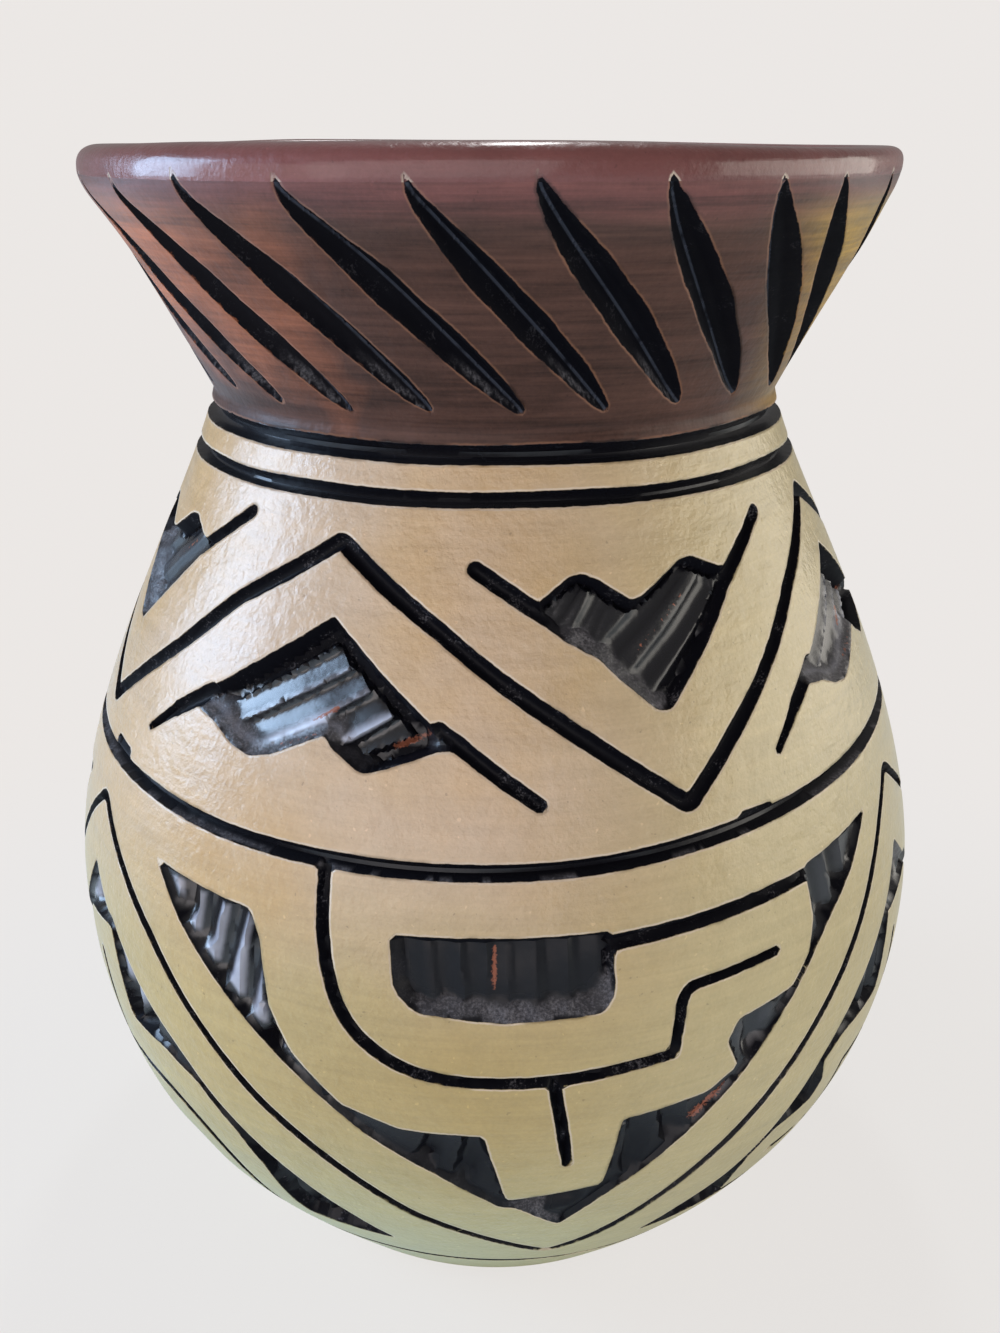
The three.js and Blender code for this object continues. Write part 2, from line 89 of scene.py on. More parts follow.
@dataclass(frozen=True)
class VaseOutline:
    """Outside of the pot as a radius over a height."""

    base_radius: float = 49.2
    belly_radius: float = 80.6
    belly_height: float = 69.4
    neck_radius: float = 49.6
    neck_height: float = 160.6
    collar_rise: float = 34.7
    lip_radius: float = 68.1
    lip_rise: float = 4.7
    lip_bevel: float = 4.5
    lip_round: float = 2.0
    wall: float = 6.5
    floor: float = 7.0
    foot_lean: float = 40.0
    foot_fullness: float = 0.36
    lower_fullness: float = 0.5
    upper_fullness: float = 0.39
    neck_lean: float = 11.5
    neck_fullness: float = 0.17
    collar_hollow: float = 0.05
    turn_rise: float = 3.2
    turn_in: float = 0.56
    wall_places: int = 900
    collar_places: int = 400
    headroom: float = 8.0
    feeler: float = 0.6

    @staticmethod
    def _curve(points: Points, count: int) -> Array:
        """A Bezier curve: each point times its binomial share at t, added up.

        Args:
            points: The control points, as radius and height.
            count: How many places on the curve.

        Returns:
            One row of radius and height for each place.
        """
        share = np.linspace(0.0, 1.0, count)[:, None]
        last = len(points) - 1
        total = np.zeros((count, 2))
        for index, point in enumerate(points):
            weight = math.comb(last, index) * share**index * (1.0 - share) ** (last - index)
            total = total + weight * np.array(point)
        return total

    @cached_property
    def _table(self) -> tuple[Array, Array, Array]:
        """Radii, heights and arcs of closely set places from the foot to a little above the lip."""
        base, belly = self.base_radius, self.belly_radius
        neck, lip = self.neck_radius, self.lip_radius
        waist, throat = self.belly_height, self.neck_height
        corner = throat + self.collar_rise
        lean, turn = math.radians(self.foot_lean), math.radians(self.neck_lean)
        foot, bend = self.foot_fullness * waist, self.neck_fullness * (throat - waist)
        fullest = waist + self.upper_fullness * (throat - waist)
        halfway = neck + (lip - neck) * (0.5 - self.collar_hollow)
        lower = self._curve(
            [(base, 0.0), (base + foot * math.sin(lean), foot * math.cos(lean)),
             (belly, waist * (1.0 - self.lower_fullness)), (belly, waist)], self.wall_places)
        upper = self._curve(
            [(belly, waist), (belly, fullest),
             (neck + bend * math.sin(turn), throat - bend * math.cos(turn)), (neck, throat)],
            self.wall_places)
        collar = self._curve(
            [(neck, throat), (halfway, throat + self.collar_rise / 2), (lip, corner)],
            self.collar_places)
        turned = np.maximum(collar[:, 1] - corner + self.turn_rise, 0.0)
        collar[:, 0] -= self.turn_in * (turned / self.turn_rise) ** 2
        above = np.array([[collar[-1, 0], corner + self.headroom]])
        places = np.vstack([lower, upper[1:], collar[1:], above])
        steps = np.hypot(*np.diff(places, axis=0).T)
        return places[:, 0], places[:, 1], np.concatenate([[0.0], np.cumsum(steps)])

    def radius_at(self, height: Array) -> Array:
        """Outside radius at a height."""
        return np.interp(height, self._table[1], self._table[0])

    def arc_at(self, height: Array) -> Array:
        """Length up the outline at a height."""
        return np.interp(height, self._table[1], self._table[2])

    def height_at(self, arc: Array) -> Array:
        """Height at a length up the outline."""
        return np.interp(arc, self._table[2], self._table[1])

    def radius_along(self, arc: Array) -> Array:
        """Outside radius at a length up the outline."""
        return self.radius_at(self.height_at(arc))

    def inside_at(self, height: Array) -> Array:
        """Inside radius at a height."""
        return self.radius_at(height) - self.wall

    def facing_at(self, arc: Array) -> tuple[Array, Array]:
        """Which way the wall faces: the outline's direction turned a quarter outwards.

        Args:
            arc: Lengths up the outline.

        Returns:
            The outward and the upward part of the facing direction.
        """
        radii, heights, arcs = self._table
        ahead, behind = arc + self.feeler, arc - self.feeler
        across = np.interp(ahead, arcs, radii) - np.interp(behind, arcs, radii)
        along = np.interp(ahead, arcs, heights) - np.interp(behind, arcs, heights)
        length = np.hypot(across, along)
        return along / length, -across / length


@dataclass(frozen=True)
class Tremor:
    """One unevenness of the hand: waves of many directions, each whole round the pot, added up."""

    seed: int
    wave: float
    size: float
    count: int = 22
    spread: tuple[float, float] = (1.0, 2.4)
    mean_radius: float = 72.0

    def at(self, angle: Array, arc: Array) -> Array:
        """Height of the waves, about as much as their size at most places.

        The sum of the sines of (turns times angle, plus rise times arc, plus a phase).

        Args:
            angle: Degrees round the pot.
            arc: Lengths up the outline.

        Returns:
            The sum at each place.
        """
        pick = np.random.default_rng(self.seed)
        wave = self.wave * pick.uniform(*self.spread, self.count)
        heading = pick.uniform(0.0, math.pi, self.count)
        phases = pick.uniform(0.0, 2 * math.pi, self.count)
        turns = np.rint(2 * math.pi / wave * np.cos(heading) * self.mean_radius)
        rises = 2 * math.pi / wave * np.sin(heading)
        total = np.zeros(np.shape(angle))
        for turn, rise, phase in zip(turns, rises, phases):
            total = total + np.sin(turn * np.radians(angle) + rise * arc + phase)
        return self.size * (total / math.sqrt(self.count / 2))


@dataclass(frozen=True)
class Hand:
    """The hand's unevenness in each kind of work, in millimetres or as a share of a width."""

    wall: Tremor = Tremor(3, 60.0, 0.16, 8)
    aside: Tremor = Tremor(5, 25.0, 0.10)
    upwards: Tremor = Tremor(6, 27.0, 0.09)
    ragged: Tremor = Tremor(11, 2.2, 0.028)
    line: Tremor = Tremor(21, 16.0, 0.03, 10)
    ring: Tremor = Tremor(31, 28.0, 0.02, 10)
    floor: Tremor = Tremor(41, 7.0, 0.07, 12)
    leaf: Tremor = Tremor(51, 9.0, 0.03, 10)
    grain: Tremor = Tremor(61, 1.9, 1.0, 30)
    lip: Tremor = Tremor(71, 55.0, 0.12, 6)


@dataclass(frozen=True)
class Rings:
    """Heights of the ring grooves."""

    base: float = 14.3
    belly: float = 103.3
    belly_climb: float = 1.4
    belly_sag: float = 2.0
    neck: float = 150.9
    collar: float = 157.3
    lip: float = 195.3

    def belly_at(self, angle: Array) -> Array:
        """Height of the belly groove: it climbs with the sine and sags with the double cosine."""
        turn = np.radians(angle)
        return self.belly + self.belly_climb * np.sin(turn) - self.belly_sag * np.cos(2 * turn)


OUTLINE = VaseOutline()
RINGS = Rings()
HAND = Hand()


@dataclass
class WallPath:
    """A path on the wall: angles in degrees and arcs in millimetres."""

    angle: Array
    arc: Array
    closed: bool = False

    @classmethod
    def through(cls, places: Points, closed: bool = False) -> "WallPath":
        """A path through places given as an angle and a height."""
        table = np.array(places, dtype=float)
        return cls(table[:, 0], OUTLINE.arc_at(table[:, 1]), closed)

    def eased(self, cut: float, rounds: int = 2) -> "WallPath":
        """The path with its corners cut off, again and again.

        Each corner gives way to two points, a quarter of the way along the sides that meet there,
        or the cut's length where that is less.

        Args:
            cut: The longest cut, in millimetres.
            rounds: How often the corners are cut.

        Returns:
            The smoother path.
        """
        angle, arc = self.angle, self.arc
        for _ in range(rounds):
            start = np.arange(angle.size if self.closed else angle.size - 1)
            after = (start + 1) % angle.size
            span, rise = angle[after] - angle[start], arc[after] - arc[start]
            if self.closed:
                span = turned_by(span)
            length = np.hypot(np.radians(span) * OUTLINE.radius_along(arc[start]), rise)
            share = np.minimum(0.25, cut / np.maximum(length, 1e-6))[:, None]
            corner, side = np.stack([angle[start], arc[start]], 1), np.stack([span, rise], 1)
            early, late = corner + share * side, corner + (1 - share) * side
            places = np.stack([early, late], 1).reshape(-1, 2)
            if not self.closed:
                places[[0, -1]] = [(angle[0], arc[0]), (angle[-1], arc[-1])]
            angle, arc = places.T
            cut = cut / 2
        return WallPath(angle, arc, self.closed)


class Edge(Enum):
    """How a side of a sunk panel goes down, by its letter."""

    STEEP = "s"
    LEANT = "l"
    RAMP = "r"
    MOAT = "m"


SLOPES = {Edge.STEEP: 2.6, Edge.LEANT: 1.25, Edge.RAMP: 0.75, Edge.MOAT: 2.7}
CRUMBLY = {Edge.RAMP: 1.0, Edge.LEANT: 0.45}


@dataclass(frozen=True)
class Panel:
    """A sunk panel in its motif's own units: its outline and a letter for each side.

    A flute is one stroke of a round gouge in the floor, and worn is a streak where the stain has
    come off the clay: both give two places of the motif, and worn also its width.
    """

    outline: Points
    sides: str
    flutes: tuple[tuple[float, float, float, float], ...]
    worn: tuple[tuple[float, float, float, float, float], ...]
    floor: float
    gouge: float
    back: float
    tilt: float = 0.0
    climb: float = 0.0
    ridge: float = 0.75
    moat: float = 2.9
    moat_width: float = 1.0
    corner: float = 0.5
    matt: float = 0.0


@dataclass(frozen=True)
class Line:
    """A carved line: its points in the motif's own units, its width and depth in millimetres."""

    points: Points
    width: float
    depth: float = 1.6
    corner: float = 0.5
    thin_start: float = 1.0
    thin_end: float = 1.0
    matt: float = 0.95


class Carving:
    """What the gouges took from the wall at a set of places, given as flat arrays.

    rim is the distance to the nearest carved edge, below 0 inside a cut. crease is a signed number
    that passes through 0 at folds inside a cut. depth is how far the surface lies below the wall,
    rough how crumbly a cut is, matt how little its stain shines, bare how far that is worn off, and
    fold the signed distance to the middle fold of a slash.
    """

    def __init__(self, angle: Array, arc: Array) -> None:
        """Starts with an uncut wall, seen through the small wandering of the hand.

        Args:
            angle: Degrees round the pot.
            arc: Lengths up the outline.
        """
        self.angle = angle + np.degrees(HAND.aside.at(angle, arc) / USUAL_RADIUS)
        self.arc = arc + HAND.upwards.at(angle, arc)
        self.ragged = HAND.ragged.at(angle, arc)
        self.radius = OUTLINE.radius_along(arc)
        self.rim, self.crease, self.fold = (np.full(angle.shape, CLEAR) for _ in range(3))
        self.depth, self.rough, self.matt, self.bare = (np.zeros(angle.shape) for _ in range(4))

    def _near(self, path: WallPath, margin: float) -> Array:
        """Which places lie within a margin of the box round a path.

        Args:
            path: The path on the wall.
            margin: The margin, in millimetres.

        Returns:
            Indices of the places.
        """
        low, high = path.arc.min() - margin, path.arc.max() + margin
        middle = (path.angle.min() + path.angle.max()) / 2
        reach = (path.angle.max() - path.angle.min()) / 2 + math.degrees(margin / NARROWEST)
        beside = np.abs(turned_by(self.angle - middle)) <= reach
        if path.closed and reach > 170.0:
            beside = np.ones(self.angle.shape, dtype=bool)
        return np.flatnonzero(beside & (self.arc >= low) & (self.arc <= high))

    def _local(self, where: Array, path: WallPath) -> tuple[Array, Array]:
        """The path as seen from each place, in millimetres to the right and up.

        Args:
            where: Indices of the places.
            path: The path on the wall.

        Returns:
            Two tables with a row for each place and a column for each point of the path.
        """
        turn = np.radians(turned_by(path.angle[None, :] - self.angle[where][:, None]))
        across = turn * self.radius[where][:, None]
        return across, path.arc[None, :] - self.arc[where][:, None]

    @staticmethod
    def _to_side(across: Array, up: Array, index: int, after: int) -> tuple[Array, Array, Array]:
        """How far the origin lies from one side of a path.

        Args:
            across: The path's points to the right of each place.
            up: The path's points above each place.
            index: The point where the side starts.
            after: The point where it ends.

        Returns:
            The distance, its sign and the share along the side.
        """
        from_x, from_y = across[:, index], up[:, index]
        span_x, span_y = across[:, after] - from_x, up[:, after] - from_y
        square = np.maximum(span_x**2 + span_y**2, 1e-9)
        share = np.clip(-(from_x * span_x + from_y * span_y) / square, 0.0, 1.0)
        distance = np.hypot(from_x + share * span_x, from_y + share * span_y)
        return distance, np.where(from_x * span_y - from_y * span_x >= 0.0, 1.0, -1.0), share

    def _to_path(self, where: Array, path: WallPath,
                 close: float = 8.0) -> tuple[Array, Array, Array]:
        """How far places lie from a path, each side measured only from the places close to it.

        Args:
            where: Indices of the places.
            path: The path on the wall.
            close: How far from a side's box it is still measured.

        Returns:
            The distance, the sign of the side it is on and the share along the path, from 0 to 1.
        """
        best, sign, along = np.full(where.size, FAR), np.ones(where.size), np.zeros(where.size)
        count = path.angle.size
        sides = count if path.closed else count - 1
        angle, arc, radius = self.angle[where], self.arc[where], self.radius[where]
        for index in range(sides):
            after = (index + 1) % count
            half = float(turned_by(path.angle[after] - path.angle[index])) / 2
            low, high = sorted((path.arc[index], path.arc[after]))
            offset = turned_by(angle - path.angle[index] - half)
            beside = np.abs(offset) < abs(half) + math.degrees(close / NARROWEST)
            near = np.flatnonzero(beside & (arc > low - close) & (arc < high + close))
            scale = np.radians(radius[near])[:, None]
            across = np.stack([-offset[near] - half, half - offset[near]], axis=1) * scale
            up = np.stack([path.arc[index] - arc[near], path.arc[after] - arc[near]], axis=1)
            distance, side, share = self._to_side(across, up, 0, 1)
            nearer = distance < best[near]
            chosen = near[nearer]
            best[chosen] = distance[nearer]
            sign[chosen] = side[nearer]
            along[chosen] = (index + share[nearer]) / sides
        return best, sign, along

    def _merge(self, where: Array, rim: Array, depth: Array, crease: Array, rough: Array,
               matt: Array | float) -> None:
        """Adds a cut: the nearest edge and the greatest depth win, and matt goes with the edge.

        Args:
            where: Indices of the places.
            rim: Distance to the cut's edge.
            depth: The cut's depth.
            crease: The signed number that is 0 at its folds.
            rough: How crumbly it is.
            matt: How little its stain shines.
        """
        won = (rim < 0.0) & (depth > self.depth[where])
        nearest = rim < self.rim[where]
        self.matt[where[nearest]] = np.broadcast_to(matt, rim.shape)[nearest]
        self.rim[where] = np.minimum(self.rim[where], rim)
        for own, new in ((self.depth, depth), (self.crease, crease), (self.rough, rough)):
            own[where[won]] = new[won]

    def _shaken(self, tremor: Tremor, where: Array) -> Array:
        """The hand's unevenness at some of the places."""
        return tremor.at(self.angle[where], self.arc[where])

    def groove(self, path: WallPath, line: Line) -> None:
        """Cuts a line with a round-bottomed gouge.

        With h half the width and y the distance to the path, the depth is the line's depth times
        one less (y over h) to the power 2.4.

        Args:
            path: The middle of the line.
            line: Its width, depth and how it thins at its ends.
        """
        where = self._near(path, line.width)
        best, sign, along = self._to_path(where, path)
        thin = np.interp(along, [0.0, 0.3, 0.7, 1.0], [line.thin_start, 1.0, 1.0, line.thin_end])
        half = line.width / 2 * thin * (1.0 + self._shaken(HAND.line, where))
        rim = best - half + self.ragged[where]
        share = np.clip(best / half, 0.0, 1.0)
        depth = line.depth * (0.4 + 0.6 * thin) * (1.0 - share**2.4)
        self._merge(where, rim, depth, best * sign, np.zeros(where.size), line.matt)

    def ring(self, height: HeightAt, above: float, below: float, depth: float, matt: float,
             rough: float = 0.0) -> None:
        """Cuts a groove round the pot, with its own width above and below its middle.

        The upper side is a round gouge's, the lower one runs out in a slope where it is rough.

        Args:
            height: Height of the groove's middle at an angle.
            above: Width above the middle.
            below: Width below the middle.
            depth: Depth at the middle.
            matt: How little its stain shines, from 0 to 1.
            rough: How rough the lower side is, from 0 to 1.
        """
        offset = self.arc - OUTLINE.arc_at(height(self.angle))
        where = np.flatnonzero(np.abs(offset) < RING_REACH)
        offset = offset[where]
        upper, away = offset > 0.0, np.abs(offset)
        half = np.where(upper, above, below) * (1.0 + self._shaken(HAND.ring, where))
        part = np.clip(away / half, 0.0, 1.0)
        round_cut = 1.0 - part**2.2
        slope = (1.0 - part) * (1.0 + 0.4 * part)
        profile = np.where(upper, round_cut, (1.0 - rough) * round_cut + rough * slope)
        crumbly = rough * np.where(offset < 0.0, eased(part, 0.25, 0.7), 0.0)
        rim = away - half + self.ragged[where] * 0.7
        self._merge(where, rim, depth * profile, offset, crumbly, matt)

    def panel(self, path: WallPath, letters: str, flutes: Sequence[WallPath], panel: Panel) -> None:
        """Sinks a panel: its depth is the least of the floor and each side's slope times distance.

        The floor is the deepest of the flutes. Each is its depth less the square of the distance
        across it over twice a radius, the gouge's on the stroke's right and the back's on its left,
        less the tilt times the distance on the right and the climb times that back from its end,
        and less again past its ends. Next to a moat side the floor drops to the moat's depth.

        Args:
            path: The outline, with one letter of letters for each side.
            letters: The kind of each side.
            flutes: Middle lines of the strokes.
            panel: The panel's depths and gouge.
        """
        where = self._near(path, 3.0)
        across, up = self._local(where, path)
        best, wall, moat = (np.full(where.size, FAR) for _ in range(3))
        ramp = np.zeros(where.size)
        inside = np.zeros(where.size, dtype=bool)
        for index, letter in enumerate(letters):
            after = (index + 1) % len(letters)
            distance, _, _ = self._to_side(across, up, index, after)
            edge = Edge(letter)
            best = np.minimum(best, distance)
            lower = SLOPES[edge] * distance < wall
            ramp[lower] = CRUMBLY.get(edge, 0.0)
            wall[lower] = SLOPES[edge] * distance[lower]
            if edge is Edge.MOAT:
                moat = np.minimum(moat, distance)
            from_y, to_y = up[:, index], up[:, after]
            crossing = (from_y > 0.0) != (to_y > 0.0)
            safe = np.where(crossing, to_y - from_y, 1.0)
            reach = across[:, index] - from_y * (across[:, after] - across[:, index]) / safe
            inside ^= crossing & (reach > 0.0)
        floor = np.full(where.size, panel.floor - panel.ridge)
        second = floor.copy()
        parity = np.ones(where.size)
        for number, flute in enumerate(flutes):
            run_x, run_y = self._local(where, flute)
            span_x, span_y = run_x[:, 1] - run_x[:, 0], run_y[:, 1] - run_y[:, 0]
            length = np.hypot(span_x, span_y)
            aside = (run_x[:, 0] * span_y - run_y[:, 0] * span_x) / length
            along = -(run_x[:, 0] * span_x + run_y[:, 0] * span_y) / length
            past = np.maximum(np.maximum(-along, along - length), 0.0)
            hollow = np.where(aside < 0.0, panel.gouge, panel.back)
            cut = panel.floor - aside**2 / (2 * hollow) - past**2 / 5.0
            cut = cut + panel.tilt * np.minimum(aside, 0.0) - panel.climb * (length - along)
            higher = cut > floor
            second = np.where(higher, floor, np.maximum(second, cut))
            parity[higher] = 1.0 if number % 2 else -1.0
            floor = np.maximum(floor, cut)
        fold = (floor - second) * parity
        sunk = panel.moat - 3.0 * np.maximum(moat - panel.moat_width, 0.0)
        walled = (1.0 - ramp) * eased(np.maximum(floor - wall, sunk - floor), -0.5, 0.3)
        floor = np.maximum(floor, sunk) + self._shaken(HAND.floor, where)
        rough = ramp * eased(floor - wall, -0.9, 0.6)
        rim = np.where(inside, -best, best) + self.ragged[where]
        foot = wall - floor
        crease = np.where(np.abs(foot) < 1.1, foot, fold)
        matt = panel.matt + (1.0 - panel.matt) * walled
        self._merge(where, rim, np.minimum(wall, floor), crease, rough, matt)

    def wear(self, path: WallPath, width: float) -> None:
        """Wears the stain off along a path, fully at the path and not at all at its width.

        Args:
            path: The middle of the streak.
            width: How far the wear reaches to each side.
        """
        where = self._near(path, width + 1.0)
        best, _, _ = self._to_path(where, path)
        self.bare[where] = np.maximum(self.bare[where], 1.0 - eased(best, 0.35 * width, width))

    def leaf(self, middle: WallPath, width: float, depth: float) -> None:
        """Cuts a leaf-shaped slash along a path from its sharp top to its blunt foot.

        Half the width is the width times the sine of pi t, to the power 0.8 above the middle and
        0.45 below it. The fold lies nearer to the left edge, the right flank has a facet, and the
        left one has a chip at the foot, whose pale crumbly specks partly stand for a painted glint
        of light on the chip.

        Args:
            middle: The fold of the slash, from top to foot.
            width: The greatest width.
            depth: The greatest depth.
        """
        where = self._near(middle, width + 2.0)
        best, sign, along = self._to_path(where, middle)
        swell = np.sin(np.pi * np.clip(along, 0.0, 1.0))
        fullness = np.where(along < 0.5, swell**0.8, swell**0.45)
        right = sign > 0.0
        half = width * fullness * np.where(right, 0.6, 0.4)
        half = half * (1.0 + self._shaken(HAND.leaf, where))
        rim = (best - half) * np.where(right, 0.93, 0.96) + self.ragged[where]
        part = np.clip(best / np.maximum(half, 1e-3), 0.0, 1.0)
        facet = np.interp(part, [0.0, 0.48, 1.0], [1.0, 0.7, 0.0])
        straight = np.interp(part, [0.0, 0.7, 1.0], [1.0, 0.5, 0.0])
        sunk = depth * fullness * np.where(right, facet, straight)
        sunk = np.minimum(sunk, 2.4 * np.maximum(-rim, 0.0))
        # The chip at the foot of the left flank: its crumbly dust specks are partly a painted glint
        # of light on the chip.
        chip_glint = np.where(right, 0.0, eased(along, 0.62, 0.85) * eased(part, 0.2, 0.6))
        self._merge(where, rim, sunk, best * sign, 0.8 * chip_glint, 1.0)
        closer = best < np.abs(self.fold[where])
        self.fold[where[closer]] = (best * sign)[closer]


@dataclass(frozen=True)
class Frieze:
    """A band of motifs round the pot: one closed zigzag, and panels and lines in each motif."""

    start: float
    count: int
    rounds: int
    zigzag: Line
    panels: tuple[Panel, ...]
    lines: tuple[Line, ...]

    def bends(self, index: int) -> Points:
        """The zigzag's points in one motif, in the motif's own units."""
        return self.zigzag.points

    def place(self, index: int, point: Point) -> Point:
        """The angle and height of a motif's point."""
        raise NotImplementedError

    def _path(self, index: int, points: Points, closed: bool = False) -> WallPath:
        """A motif's path on the wall."""
        return WallPath.through([self.place(index, point) for point in points], closed)

    def cut(self, carving: Carving) -> None:
        """Cuts the zigzag, then the panels, worn streaks and lines of each motif.

        Args:
            carving: The wall that is cut.
        """
        motifs = range(self.count)
        places = [self.place(index, point) for index in motifs for point in self.bends(index)]
        zigzag = WallPath.through(places, closed=True)
        carving.groove(zigzag.eased(self.zigzag.corner), self.zigzag)
        for index in motifs:
            for panel in self.panels:
                path = self._path(index, panel.outline, closed=True).eased(panel.corner, 1)
                pairs = zip(panel.sides, panel.sides[1:] + panel.sides[0])
                letters = "".join(side + after for side, after in pairs)
                flutes = [self._path(index, (flute[:2], flute[2:])) for flute in panel.flutes]
                carving.panel(path, letters, flutes, panel)
                for worn in panel.worn:
                    carving.wear(self._path(index, (worn[:2], worn[2:4])), worn[4])
            for line in self.lines:
                path = self._path(index, line.points)
                carving.groove(path.eased(line.corner, self.rounds), line)


@dataclass(frozen=True)
class LowerFrieze(Frieze):
    """The frets between the base ring and the belly groove: upright ones and upside-down ones."""

    start: float = -28.5
    count: int = 6
    rounds: int = 3
    width: float = 60.0
    spans: tuple[float, ...] = (65.8, 60.2, 58.8, 58.8, 58.8, 57.6)
    zigzag: Line = Line(
        ((0, 50), (9.5, 36), (16.5, 25.5), (26.5, 15), (33, 8), (38, 14), (44.5, 24.5), (51, 35)),
        width=1.8, depth=1.5, corner=1.2, matt=0.9)
    panels: tuple[Panel, ...] = (
        Panel(
            outline=(
                (-14.5, 89.5), (-9.3, 80.5), (-2.5, 70.7), (6, 58.5), (12.5, 48.5), (20, 39.5),
                (26.7, 30), (28.5, 29.5), (33.6, 22.4), (38, 30.8), (46.2, 43.7), (52.5, 53.8),
                (57.2, 63), (62.9, 73.4), (65, 76.5), (71.2, 83), (75.8, 90.2), (62, 88.8),
                (62.6, 79), (61.5, 73), (58.8, 68.2), (51.8, 66.9), (50.4, 63), (52, 56.5),
                (48.5, 53), (39, 51.8), (37.7, 35), (27.3, 32.3), (24.8, 50.6), (16.4, 51),
                (10.2, 54.7), (5.3, 63.5), (2.8, 71.7), (1.4, 84), (0, 88.6)),
            sides="sssllllrssssssssssssslsssssssssssss",
            flutes=(
                (-9.4, 84, -9.8, 88), (-6.6, 80.6, -6.2, 88), (-3.9, 75.4, -2.6, 87.5),
                (-0.6, 70.8, 0.4, 86), (2.3, 65, 2.6, 74), (18.4, 43.5, 20.1, 50.4),
                (22.4, 39.5, 23.8, 50), (27, 28.5, 34, 31.5), (40.4, 39, 40.6, 51),
                (44.5, 46, 44.2, 52), (53.6, 60, 53.8, 66.5), (64.6, 79, 63.8, 88),
                (68, 82, 67.6, 89)),
            worn=((47.3, 47.3, 50.8, 52.6, 1.3),),
            floor=3.0, gouge=3.4, back=0.5, tilt=0.1, climb=0.05, ridge=2.1, matt=0.08),
        Panel(
            outline=(
                (15.4, 89.4), (38, 89.4), (37.9, 78.5), (36.8, 75.4), (26.7, 74.8), (18.2, 76),
                (16, 80)),
            sides="smrrrll",
            flutes=(
                (17.6, 76, 16.6, 89), (21.2, 76, 20.2, 89), (24.2, 76, 23.2, 89),
                (26, 79, 25.9, 89), (28.1, 76, 27.9, 89), (31.6, 76, 31.2, 89),
                (34.7, 76, 34.3, 89)),
            worn=((25.9, 87.6, 25.8, 80.2, 0.6),),
            floor=2.1, gouge=7.0, back=1.2, ridge=0.6, moat=2.7, moat_width=0.7, corner=1.0,
            matt=0.75))
    lines: tuple[Line, ...] = (
        Line(((38, 87.4), (62.2, 87.2)), width=2.3, depth=1.5),
        Line(
            ((8.2, 100), (8.3, 89), (9.4, 79.7), (11.5, 72), (15, 66.6), (18.8, 63.7), (24, 62.7),
             (31.8, 62.7), (44.1, 64.2)),
            width=2.1, corner=3.0),
        Line(((44.1, 64.2), (45.2, 76.6), (56.6, 76.9)), width=2.0, corner=1.3, thin_end=0.8),
        Line(((31.8, 62.5), (33.5, 42.6)), width=2.0, thin_end=0.85))

    def bends(self, index: int) -> Points:
        """The V of one fret, read backwards where it is upside down."""
        points = self.zigzag.points
        return ((self.width, 50), *points[:0:-1]) if index % 2 else points

    def place(self, index: int, point: Point) -> Point:
        """Where a point of a fret lies.

        The angle goes on from the fret's start, or back from its end where it is upside down. The
        height is the given percentage of the way from the base ring to the belly groove.

        Args:
            index: The fret, from 0 at the front.
            point: The point, in the fret's own units.

        Returns:
            Its angle and its height.
        """
        start, span = self.start + sum(self.spans[:index]), self.spans[index]
        aside, percent = point[0] * (span / self.width), point[1]
        if index % 2:
            angle, percent = start + span - aside, 100.0 - percent
        else:
            angle = start + aside
        belly = float(RINGS.belly_at(angle))
        return angle, RINGS.base + (belly - RINGS.base) * (percent / 100.0)


